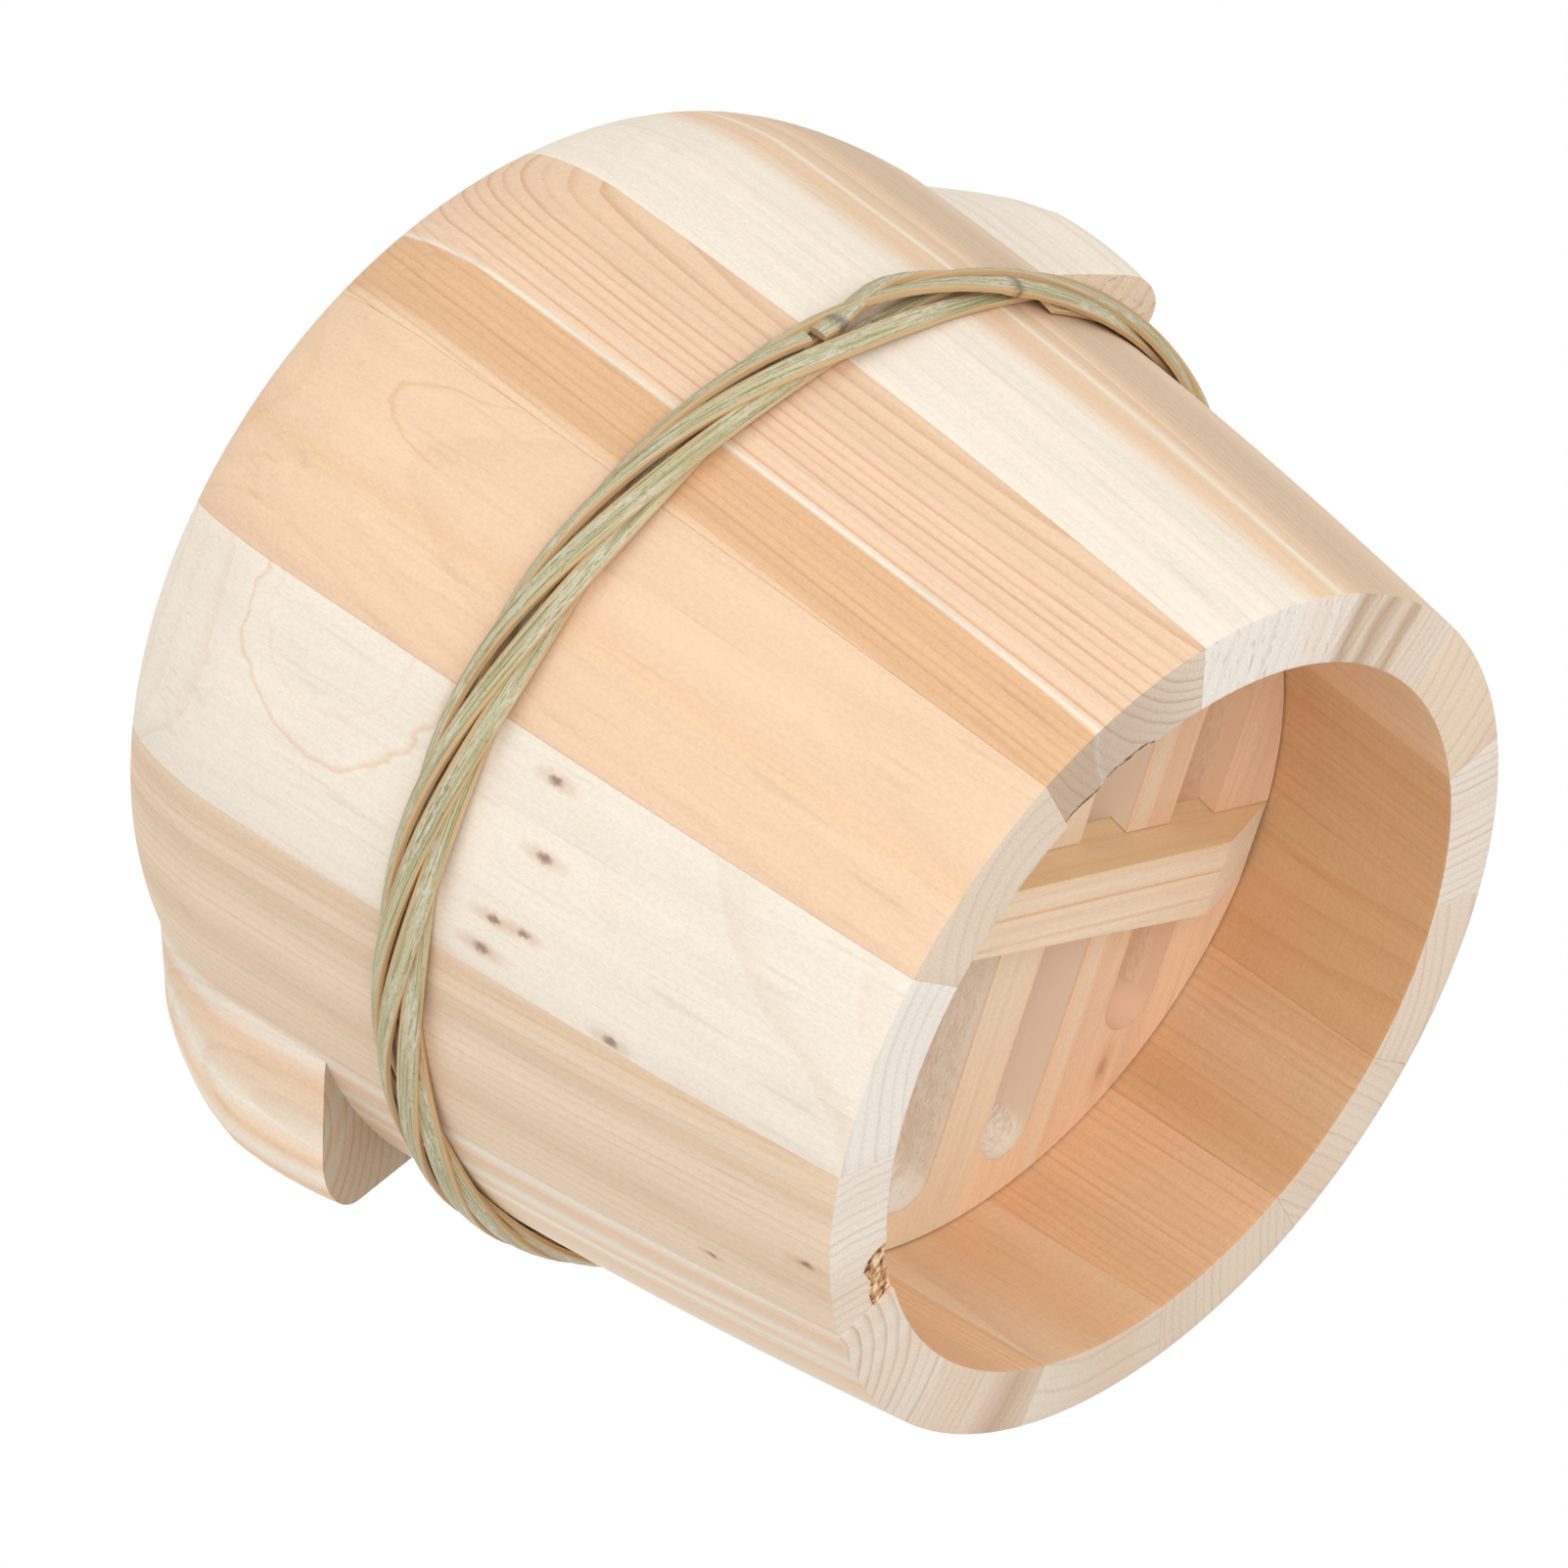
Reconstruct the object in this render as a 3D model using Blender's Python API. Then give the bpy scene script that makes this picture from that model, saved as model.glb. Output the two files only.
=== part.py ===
"""A coopered rice steamer, modelled piece by piece in metres with +Z up.

Tapered staves stand edge to edge on hidden bamboo pins. Two opposite staves are carved with lifting
ears. One long bamboo strip, wound round the barrel and round itself, is the hoop. A slotted steaming
grate of boards on a sliding dovetail batten wedges in the tapered bore and lifts out upwards.
"""

import math

import bmesh
import bpy
from mathutils import Matrix, Vector

# Barrel
STAVE_COUNT = 14
BARREL_HEIGHT = 0.203
BOTTOM_RADIUS = 0.100
SHOULDER_RADIUS = 0.1247
SHOULDER_HEIGHT = 0.172
WALL_BULGE = 0.0024
RIM_RADIUS = 0.1165
BOTTOM_BORE_RADIUS = 0.0845
MOUTH_BORE_RADIUS = 0.1082
RIM_INNER_CHAMFER = 0.0015
JOINT_GAP = 0.0003

# Bamboo pins across each stave joint
PIN_RADIUS = 0.002
PIN_DEPTH = 0.010
PIN_CLEARANCE = 0.0003
LOW_PIN_HEIGHT = 0.028
HIGH_PIN_BELOW_RIM = 0.060

# Carved ears on two opposite staves
EAR_FOOT_HEIGHT = 0.1395
EAR_CREST_RISE = 0.0225
EAR_CREST_RADIUS = 0.143
EAR_TIP_RADIUS = 0.139
EAR_RIM_RADIUS = 0.1245
EAR_UNDERCUT = math.radians(27)
EAR_NOSE_RADIUS = 0.013
EAR_SIDE_MARGIN = 0.003
EAR_SAW_ALLOWANCE = 0.0004

# Bamboo hoop, one flat strip twisted on itself
HOOP_HEIGHT = 0.1054
HOOP_LOOPS = 4
HOOP_TWISTS = 2
STRIP_WIDTH = 0.0036
STRIP_THICKNESS = 0.0015
STRIP_GAP = 0.0005
STRIP_CROSSING = math.radians(39)
HOOP_END_GAP = 0.004

# Steaming grate
GRATE_SEAT_HEIGHT = 0.0538
GRATE_THICKNESS = 0.014
GRATE_FIT = 0.0005
GRATE_TURN = math.radians(-42.9)
BOARD_COUNT = 5
BOARD_WIDTH = 0.031
SLOT_WIDTH = 0.016
SLOT_EDGE_MARGIN = 0.010

# Sliding dovetail batten under the grate
BATTEN_DROP = 0.0114
BATTEN_WIDE_END = 0.0200
BATTEN_NARROW_END = 0.0125
BATTEN_FRONT = 0.010
BATTEN_FLAT_REACH = 0.063
DOVETAIL_DEPTH = 0.005
DOVETAIL_FLARE = 0.0012

# How far a cutter runs past what it cuts
CUT_OVERRUN = 0.010

# Facets of the round forms
WALL_STEPS = 6
RIM_STEPS = 5
STAVE_FACETS = 4
PIN_SIDES = 10
EAR_STEPS = 8
EAR_NOSE_FACETS = 8
SLOT_END_STEPS = 8
LOOP_POINTS = 24
GAP_SAMPLES = 4
SMOOTH_LIMIT = math.radians(40)

STAVE_ANGLE = 2 * math.pi / STAVE_COUNT
STAVE_SWEEP = STAVE_ANGLE - JOINT_GAP / BOTTOM_BORE_RADIUS
HIGH_PIN_HEIGHT = BARREL_HEIGHT - HIGH_PIN_BELOW_RIM
BORE_TAPER = (MOUTH_BORE_RADIUS - BOTTOM_BORE_RADIUS) / BARREL_HEIGHT

FIR_TONES = (
    (0.80, 0.62, 0.43),
    (0.86, 0.72, 0.54),
    (0.84, 0.63, 0.44),
    (0.78, 0.57, 0.38),
    (0.87, 0.75, 0.58),
)
GRATE_TONE = (0.82, 0.64, 0.47)
BATTEN_TONE = (0.80, 0.66, 0.47)
PIN_TONE = (0.76, 0.64, 0.40)
HOOP_TONE = (0.55, 0.58, 0.40)
FIR_ROUGHNESS = 0.6
BAMBOO_ROUGHNESS = 0.4


def clear_scene():
    for obj in list(bpy.data.objects):
        bpy.data.objects.remove(obj)


def new_collection(name):
    collection = bpy.data.collections.new(name)
    bpy.context.scene.collection.children.link(collection)
    return collection


def wood(name, tone, roughness):
    material = bpy.data.materials.new(name)
    material.use_nodes = True
    shader = material.node_tree.nodes["Principled BSDF"]
    shader.inputs["Base Color"].default_value = (*tone, 1)
    shader.inputs["Roughness"].default_value = roughness
    shader.inputs["Metallic"].default_value = 0
    return material


def mesh_from(bm, name):
    """Closes a bmesh into mesh data whose faces point outwards."""
    bmesh.ops.recalc_face_normals(bm, faces=bm.faces[:])
    mesh = bpy.data.meshes.new(name)
    bm.to_mesh(mesh)
    bm.free()
    return mesh


def add_object(name, data, collection):
    obj = bpy.data.objects.new(name, data)
    collection.objects.link(obj)
    return obj


def add_part(name, data, tone, roughness, parent):
    """A visible sub-part with a material of its own, carried by its parent empty."""
    obj = add_object(name, data, bpy.data.collections["rice_steamer"])
    if not data.materials:
        data.materials.append(None)
    obj.material_slots[0].link = "OBJECT"
    obj.material_slots[0].material = wood(f"{name}_finish", tone, roughness)
    obj.parent = parent
    return obj


def add_cutter(name, bm):
    cutter = add_object(name, mesh_from(bm, name), bpy.data.collections["cutters"])
    cutter.hide_render = True
    cutter.display_type = "WIRE"
    return cutter


def combine(obj, other, operation):
    modifier = obj.modifiers.new(f"{operation.lower()}_{other.name}", "BOOLEAN")
    modifier.operation = operation
    modifier.object = other
    modifier.solver = "EXACT"


def finished_mesh(obj, name):
    """The object's mesh with its modifiers applied, smooth over its round faces."""
    bpy.context.view_layer.update()
    graph = bpy.context.evaluated_depsgraph_get()
    mesh = bpy.data.meshes.new_from_object(obj.evaluated_get(graph))
    mesh.name = name
    mesh.shade_smooth()
    mesh.set_sharp_from_angle(angle=SMOOTH_LIMIT)
    return mesh


def wall_radius(height):
    """Outside of the barrel below the shoulder: a straight taper with a slight bulge."""
    rise = height / SHOULDER_HEIGHT
    taper = (SHOULDER_RADIUS - BOTTOM_RADIUS) * rise
    return BOTTOM_RADIUS + taper + 4 * WALL_BULGE * rise * (1 - rise)


def outer_radius(height):
    """Outside of the barrel all the way up, with the rim rounded over above the shoulder."""
    if height <= SHOULDER_HEIGHT:
        return wall_radius(height)
    rise = min(1, (height - SHOULDER_HEIGHT) / (BARREL_HEIGHT - SHOULDER_HEIGHT))
    return RIM_RADIUS + (SHOULDER_RADIUS - RIM_RADIUS) * math.sqrt(1 - rise**2)


def bore_radius(height):
    return BOTTOM_BORE_RADIUS + BORE_TAPER * height


def mouth_radius(height):
    """The bore with the small chamfer at the mouth."""
    return bore_radius(height) + max(0, height - BARREL_HEIGHT + RIM_INNER_CHAMFER)


def wall_heights():
    return [SHOULDER_HEIGHT * step / WALL_STEPS for step in range(WALL_STEPS)]


def rim_heights():
    """Heights over the rounded rim, closer together towards the top."""
    turns = [math.pi / 2 * step / RIM_STEPS for step in range(RIM_STEPS + 1)]
    return [SHOULDER_HEIGHT + (BARREL_HEIGHT - SHOULDER_HEIGHT) * math.sin(turn) for turn in turns]


def stave_profile():
    """The wall's section as (radius, height), up the outside and over the rounded rim."""
    points = [(BOTTOM_BORE_RADIUS, 0)]
    points += [(outer_radius(height), height) for height in wall_heights() + rim_heights()]
    for height in (BARREL_HEIGHT, BARREL_HEIGHT - RIM_INNER_CHAMFER):
        points.append((mouth_radius(height), height))
    return points


def section_face(bm, points):
    """A closed outline in the XZ plane."""
    return bm.faces.new([bm.verts.new((x, 0, z)) for x, z in points])


def spun_sector(points, sweep, facets):
    """The outline turned about Z through the sweep, centred on +X."""
    bm = bmesh.new()
    section_face(bm, points)
    everything = bm.verts[:] + bm.edges[:] + bm.faces[:]
    bmesh.ops.rotate(bm, verts=bm.verts[:], matrix=Matrix.Rotation(-sweep / 2, 3, "Z"))
    bmesh.ops.spin(
        bm, geom=everything, axis=(0, 0, 1), angle=sweep, steps=facets, use_duplicate=False
    )
    return bm


def pin_place(joint_angle, height):
    """A frame at mid wall on a joint plane, with its Z axis square to the joint."""
    radius = (wall_radius(height) + bore_radius(height)) / 2
    along = Matrix.Rotation(joint_angle, 4, "Z") @ Matrix.Translation((radius, 0, height))
    return along @ Matrix.Rotation(-math.pi / 2, 4, "X")


def pin_bmesh(radius, depth, place):
    bm = bmesh.new()
    bmesh.ops.create_cone(
        bm, cap_ends=True, segments=PIN_SIDES, radius1=radius, radius2=radius, depth=2 * depth, matrix=place
    )
    return bm


def bore_pin_holes(stave):
    """Blind pin bores in both edges of a stave that is centred on +X."""
    for side in (-1, 1):
        for height in (LOW_PIN_HEIGHT, HIGH_PIN_HEIGHT):
            place = pin_place(side * STAVE_ANGLE / 2, height)
            bore = pin_bmesh(PIN_RADIUS + PIN_CLEARANCE, PIN_DEPTH + PIN_CLEARANCE, place)
            combine(stave, add_cutter("pin_bore", bore), "DIFFERENCE")


def ear_ridge(height):
    """Reach of the ear's middle line: drawn in a little at the tip, closing in on the wall towards the rim."""
    crest_height = EAR_FOOT_HEIGHT + EAR_CREST_RISE
    if height > crest_height:
        rise = (height - crest_height) / (BARREL_HEIGHT - crest_height)
        proud_at_crest = EAR_CREST_RADIUS - outer_radius(crest_height)
        proud_at_rim = EAR_RIM_RADIUS - RIM_RADIUS
        return outer_radius(height) + proud_at_crest + (proud_at_rim - proud_at_crest) * rise
    tip_height = undercut_height(EAR_TIP_RADIUS)
    drop = (crest_height - height) / (crest_height - tip_height)
    return EAR_CREST_RADIUS - (EAR_CREST_RADIUS - EAR_TIP_RADIUS) * drop**2


def undercut_height(radius):
    """The slanted saw cut under the ear, lower the further it is from the wall."""
    return EAR_FOOT_HEIGHT - math.tan(EAR_UNDERCUT) * (radius - wall_radius(EAR_FOOT_HEIGHT))


def ear_side(edge, ridge):
    """Half of the ear's level outline: a strip of plain wall, a straight flank and half of the round nose."""
    half = STAVE_SWEEP / 2
    corner = half - EAR_SIDE_MARGIN / edge
    side = [(edge * math.cos(turn), edge * math.sin(turn)) for turn in (half, corner)]
    centre = ridge - EAR_NOSE_RADIUS
    corner_x, corner_y = side[-1]
    reach = math.hypot(corner_x - centre, corner_y)
    flank_end = math.atan2(corner_y, corner_x - centre) - math.acos(EAR_NOSE_RADIUS / reach)
    steps = EAR_NOSE_FACETS // 2
    for step in range(steps):
        turn = flank_end * (1 - step / steps)
        side.append((centre + EAR_NOSE_RADIUS * math.cos(turn), EAR_NOSE_RADIUS * math.sin(turn)))
    return side


def ear_section(bm, height, edge, ridge):
    """A level section of the thick stave: the bore's arc, then the ear's outline over the ridge."""
    inner = mouth_radius(height)
    ring = []
    for step in range(STAVE_FACETS + 1):
        turn = STAVE_SWEEP * (step / STAVE_FACETS - 0.5)
        ring.append((inner * math.cos(turn), inner * math.sin(turn)))
    side = ear_side(edge, ridge)
    ring += side + [(ridge, 0)] + [(x, -y) for x, y in reversed(side)]
    verts = [bm.verts.new((x, y, height)) for x, y in ring]
    return [bm.edges.new(pair) for pair in zip(verts, verts[1:] + verts[:1])]


def ear_plank():
    """The thick stave before the saw cut, lofted from level sections, straight below the ear's tip.

    Up to the first section above the saw cut it stands off the wall a little, so that the saw has wood to take.
    """
    tip_height = undercut_height(EAR_TIP_RADIUS)
    ear_step = (SHOULDER_HEIGHT - tip_height) / EAR_STEPS
    heights = [tip_height + ear_step * step for step in range(EAR_STEPS)]
    heights += rim_heights()
    bm = bmesh.new()
    sections = [ear_section(bm, 0, outer_radius(tip_height) + EAR_SAW_ALLOWANCE, EAR_TIP_RADIUS)]
    for height in heights:
        allowance = EAR_SAW_ALLOWANCE if height < EAR_FOOT_HEIGHT + ear_step else 0
        sections.append(ear_section(bm, height, outer_radius(height) + allowance, ear_ridge(height)))
    for low, high in zip(sections, sections[1:]):
        bmesh.ops.bridge_loops(bm, edges=low + high)
    bmesh.ops.holes_fill(bm, edges=sections[0] + sections[-1])
    return bm


def ear_waste():
    """What is sawn and split off below the ear, down to the barrel's own surface."""
    outer = EAR_CREST_RADIUS + CUT_OVERRUN
    points = [(wall_radius(0), -CUT_OVERRUN)]
    points += [(wall_radius(height), height) for height in wall_heights() if height < EAR_FOOT_HEIGHT]
    points.append((wall_radius(EAR_FOOT_HEIGHT), EAR_FOOT_HEIGHT))
    points.append((outer, undercut_height(outer)))
    points.append((outer, -CUT_OVERRUN))
    return spun_sector(points, 2 * STAVE_SWEEP, 2 * STAVE_FACETS)


def make_staves(barrel):
    blank = add_cutter("stave_blank", spun_sector(stave_profile(), STAVE_SWEEP, STAVE_FACETS))
    bore_pin_holes(blank)
    plain = finished_mesh(blank, "stave")
    plank = add_cutter("ear_plank", ear_plank())
    combine(plank, add_cutter("ear_waste", ear_waste()), "DIFFERENCE")
    bore_pin_holes(plank)
    eared = finished_mesh(plank, "ear_stave")
    opposite = STAVE_COUNT // 2
    for place in range(STAVE_COUNT):
        if place == 0:
            name = "ear_stave_right"
        elif place == opposite:
            name = "ear_stave_left"
        else:
            name = f"stave_{place - place // opposite:02d}"
        mesh = eared if place in (0, opposite) else plain
        stave = add_part(name, mesh, FIR_TONES[place % len(FIR_TONES)], FIR_ROUGHNESS, barrel)
        stave.rotation_euler.z = place * STAVE_ANGLE


def make_stave_pins(barrel):
    upright = pin_bmesh(PIN_RADIUS, PIN_DEPTH, Matrix.Identity(4))
    mesh = mesh_from(upright, "stave_pin")
    mesh.shade_smooth()
    mesh.set_sharp_from_angle(angle=SMOOTH_LIMIT)
    for joint in range(STAVE_COUNT):
        for level, height in (("low", LOW_PIN_HEIGHT), ("high", HIGH_PIN_HEIGHT)):
            name = f"stave_pin_{level}_{joint + 1:02d}"
            pin = add_part(name, mesh, PIN_TONE, BAMBOO_ROUGHNESS, barrel)
            pin.matrix_local = pin_place((joint + 0.5) * STAVE_ANGLE, height)


def hoop_path():
    """Points along the strip: it circles the barrel while it twists round the bundle's middle."""
    lay = HOOP_TWISTS + 1 / HOOP_LOOPS
    apart = 2 * math.sin(math.pi / HOOP_LOOPS) * math.cos(lay * math.pi / LOOP_POINTS)
    depth = (STRIP_THICKNESS + STRIP_GAP) / (apart * math.cos(STRIP_CROSSING))
    spread = (STRIP_WIDTH + STRIP_GAP) / (apart * math.sin(STRIP_CROSSING))
    wall = wall_radius(HOOP_HEIGHT + STRIP_WIDTH / 2)
    inside = wall + JOINT_GAP + STRIP_THICKNESS / 2 + depth
    ring_radius = inside / math.cos(math.pi / LOOP_POINTS)
    turns = [step * 2 * math.pi / LOOP_POINTS for step in range(HOOP_LOOPS * LOOP_POINTS)]
    turns.append(HOOP_LOOPS * 2 * math.pi - HOOP_END_GAP / ring_radius)
    points = []
    for turn in turns:
        radius = ring_radius + depth * math.cos(lay * turn)
        height = HOOP_HEIGHT - spread * math.sin(lay * turn)
        points.append(Vector((radius * math.cos(turn), radius * math.sin(turn), height)))
    return points


def least_gap(points):
    """The narrowest space between two loops of the strip, on points where they pass each other."""
    samples = [
        first.lerp(second, step / GAP_SAMPLES)
        for first, second in zip(points, points[1:])
        for step in range(GAP_SAMPLES)
    ]
    loop = LOOP_POINTS * GAP_SAMPLES
    gaps = []
    for index, sample in enumerate(samples):
        for other in samples[index + loop :: loop]:
            across = abs(sample.xy.length - other.xy.length) - STRIP_THICKNESS
            upward = abs(sample.z - other.z) - STRIP_WIDTH
            gaps.append(max(across, upward))
    return min(gaps)


def make_hoop(barrel):
    points = hoop_path()
    print(f"bamboo hoop: least gap to itself {least_gap(points) * 1000:.2f} mm")
    curve = bpy.data.curves.new("bamboo_hoop", "CURVE")
    curve.dimensions = "3D"
    curve.twist_mode = "Z_UP"
    curve.extrude = (STRIP_WIDTH - STRIP_THICKNESS) / 2
    curve.bevel_depth = STRIP_THICKNESS / 2
    curve.bevel_resolution = 1
    curve.use_fill_caps = True
    spline = curve.splines.new("POLY")
    spline.points.add(len(points) - 1)
    for slot, point in zip(spline.points, points):
        slot.co = (*point, 1)
    add_part("bamboo_hoop", curve, HOOP_TONE, BAMBOO_ROUGHNESS, barrel)


def grate_radius(height):
    """Edge of the grate at a height above its underside, following the bore."""
    return bore_radius(GRATE_SEAT_HEIGHT + height) - GRATE_FIT


def past_grate():
    return grate_radius(GRATE_THICKNESS) + CUT_OVERRUN


def grate_disc():
    bm = bmesh.new()
    bmesh.ops.create_cone(
        bm,
        cap_ends=True,
        segments=STAVE_COUNT * STAVE_FACETS,
        radius1=grate_radius(0),
        radius2=grate_radius(GRATE_THICKNESS),
        depth=GRATE_THICKNESS,
        matrix=Matrix.Translation((0, 0, GRATE_THICKNESS / 2)) @ Matrix.Rotation(-GRATE_TURN, 4, "Z"),
    )
    return bm


def board_strip(low_edge, high_edge):
    """The band of the disc that one board fills, past the disc on its outer sides."""
    bm = bmesh.new()
    span = 2 * past_grate()
    middle = (0, (low_edge + high_edge) / 2, 0)
    size = Matrix.Diagonal((span, high_edge - low_edge, span, 1))
    bmesh.ops.create_cube(bm, size=1, matrix=Matrix.Translation(middle) @ size)
    return bm


def slot_cutter(middle):
    """A round-ended steam slot along X whose ends keep the margin from the grate's edge."""
    end_radius = SLOT_WIDTH / 2
    end_centre = math.sqrt((grate_radius(0) - SLOT_EDGE_MARGIN - end_radius) ** 2 - middle**2)
    bm = bmesh.new()
    ring = []
    for side in (1, -1):
        for step in range(SLOT_END_STEPS + 1):
            turn = side * math.pi / 2 - math.pi * step / SLOT_END_STEPS
            x = side * end_centre + end_radius * math.cos(turn)
            ring.append(bm.verts.new((x, middle + end_radius * math.sin(turn), -CUT_OVERRUN)))
    face = bm.faces.new(ring)
    grown = bmesh.ops.extrude_face_region(bm, geom=[face])["geom"]
    top = [v for v in grown if isinstance(v, bmesh.types.BMVert)]
    bmesh.ops.translate(bm, verts=top, vec=(0, 0, GRATE_THICKNESS + 2 * CUT_OVERRUN))
    return bm


def batten_reach():
    """Half the batten's length, out to the grate's round edge."""
    widest = max(BATTEN_FRONT, BATTEN_WIDE_END - BATTEN_FRONT) + DOVETAIL_FLARE
    return math.sqrt(grate_radius(0) ** 2 - widest**2)


def batten_bmesh(clearance=0, stretch=1):
    """The tapered batten along Y with its dovetail tongue, grown by a clearance or run on past its ends."""
    bm = bmesh.new()
    front = BATTEN_FRONT + clearance
    top = DOVETAIL_DEPTH + clearance
    ends = []
    for side in (-stretch, stretch):
        y = side * batten_reach()
        width = (BATTEN_WIDE_END * (1 + side) + BATTEN_NARROW_END * (1 - side)) / 2
        back = BATTEN_FRONT - width - clearance
        outline = (
            (back, -BATTEN_DROP - clearance),
            (front, -BATTEN_DROP - clearance),
            (front, 0),
            (front + DOVETAIL_FLARE, top),
            (back - DOVETAIL_FLARE, top),
            (back, 0),
        )
        ring = [bm.verts.new((x, y, z)) for x, z in outline]
        ends.append(bm.faces.new(ring))
    loops = [edge for face in ends for edge in face.edges]
    bmesh.ops.bridge_loops(bm, edges=loops)
    return bm


def bevel_batten_ends(bm):
    """Long slopes that thin the batten to nothing at the grate's edge."""
    for side in (-1, 1):
        along = side * (batten_reach() - BATTEN_FLAT_REACH)
        bmesh.ops.bisect_plane(
            bm,
            geom=bm.verts[:] + bm.edges[:] + bm.faces[:],
            plane_co=(0, side * BATTEN_FLAT_REACH, -BATTEN_DROP),
            plane_no=(0, side * BATTEN_DROP, -side * along),
            clear_outer=True,
        )
        bmesh.ops.holes_fill(bm, edges=[e for e in bm.edges if e.is_boundary])


def make_grate(grate):
    stretch = 1 + CUT_OVERRUN / batten_reach()
    housing = add_cutter("batten_housing", batten_bmesh(JOINT_GAP, stretch))
    half_span = BOARD_COUNT * BOARD_WIDTH / 2
    for index in range(BOARD_COUNT):
        low_edge = index * BOARD_WIDTH - half_span + JOINT_GAP / 2
        high_edge = low_edge + BOARD_WIDTH - JOINT_GAP
        middle = (low_edge + high_edge) / 2
        if index == 0:
            low_edge = -past_grate()
        if index == BOARD_COUNT - 1:
            high_edge = past_grate()
        board = add_cutter(f"board_blank_{index + 1}", grate_disc())
        combine(board, add_cutter("board_strip", board_strip(low_edge, high_edge)), "INTERSECT")
        combine(board, add_cutter("steam_slot", slot_cutter(middle)), "DIFFERENCE")
        combine(board, housing, "DIFFERENCE")
        mesh = finished_mesh(board, f"grate_board_{index + 1}")
        add_part(mesh.name, mesh, GRATE_TONE, FIR_ROUGHNESS, grate)
    batten = batten_bmesh()
    bevel_batten_ends(batten)
    add_part("grate_batten", mesh_from(batten, "grate_batten"), BATTEN_TONE, FIR_ROUGHNESS, grate)


def main():
    clear_scene()
    parts = new_collection("rice_steamer")
    new_collection("cutters")
    barrel = add_object("barrel", None, parts)
    grate = add_object("grate", None, parts)
    grate.location.z = GRATE_SEAT_HEIGHT
    grate.rotation_euler.z = GRATE_TURN
    make_staves(barrel)
    make_stave_pins(barrel)
    make_hoop(barrel)
    make_grate(grate)


main()
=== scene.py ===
"""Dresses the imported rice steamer: figured staves, carved ears, twisted bamboo hoop, slotted grate."""

import math

import bmesh
import bpy
from bpy.props import FloatProperty, FloatVectorProperty, IntProperty, PointerProperty
from mathutils import Matrix, Quaternion, Vector, noise


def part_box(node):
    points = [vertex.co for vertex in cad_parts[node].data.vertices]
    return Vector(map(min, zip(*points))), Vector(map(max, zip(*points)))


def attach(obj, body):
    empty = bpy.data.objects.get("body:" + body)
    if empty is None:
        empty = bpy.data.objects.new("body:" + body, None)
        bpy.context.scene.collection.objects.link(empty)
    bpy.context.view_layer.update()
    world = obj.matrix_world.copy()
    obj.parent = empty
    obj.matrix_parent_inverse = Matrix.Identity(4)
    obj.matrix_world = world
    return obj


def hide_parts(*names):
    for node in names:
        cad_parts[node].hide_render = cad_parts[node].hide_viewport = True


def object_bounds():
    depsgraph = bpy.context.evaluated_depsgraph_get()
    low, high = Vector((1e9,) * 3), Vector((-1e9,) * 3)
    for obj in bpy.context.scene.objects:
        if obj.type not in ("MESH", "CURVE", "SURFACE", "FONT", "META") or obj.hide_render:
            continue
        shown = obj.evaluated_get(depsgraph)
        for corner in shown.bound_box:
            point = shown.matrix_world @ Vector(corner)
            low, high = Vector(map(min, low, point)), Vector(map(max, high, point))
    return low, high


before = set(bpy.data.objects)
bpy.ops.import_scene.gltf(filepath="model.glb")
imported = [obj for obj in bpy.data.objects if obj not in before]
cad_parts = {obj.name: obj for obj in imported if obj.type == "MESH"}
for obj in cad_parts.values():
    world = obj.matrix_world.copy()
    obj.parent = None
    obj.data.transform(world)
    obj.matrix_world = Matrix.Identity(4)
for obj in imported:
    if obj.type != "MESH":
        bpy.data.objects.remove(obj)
CAD_LOW, CAD_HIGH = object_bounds()
HOOP_LOW, HOOP_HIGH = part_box("bamboo_hoop")
BOARD_LOW, BOARD_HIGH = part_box("grate_board_3")

bl_info = {
    "name": "Rice Steamer Finish",
    "version": (1, 0, 0),
    "blender": (4, 5, 0),
    "location": "View3D > Sidebar > Steamer",
    "description": "Builds the finished staves, ears, hoop and grate of a coopered rice steamer",
    "category": "Object",
}


def screen(red, green, blue):
    """A colour as a screen shows it, 0 to 255, in Blender's linear values."""
    shares = (value / 255 for value in (red, green, blue))
    return tuple(s / 12.92 if s <= 0.04045 else ((s + 0.055) / 1.055) ** 2.4 for s in shares)


def length(name, description, default):
    return FloatProperty(name=name, description=description, default=default, unit="LENGTH", precision=4)


def angle(name, description, degrees):
    return FloatProperty(name=name, description=description, default=math.radians(degrees), unit="ROTATION")


def whole(name, description, default, least):
    return IntProperty(name=name, description=description, default=default, min=least)


def amount(name, description, default, unit="NONE"):
    return FloatProperty(name=name, description=description, default=default, min=0, unit=unit)


def point(name, description, *default):
    return FloatVectorProperty(
        name=name, description=description, default=default, subtype="TRANSLATION", unit="LENGTH",
        precision=5,
    )


def colour(name, description, *parts):
    return FloatVectorProperty(
        name=name, description=description, default=screen(*parts), subtype="COLOR", min=0, max=1
    )


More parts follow.
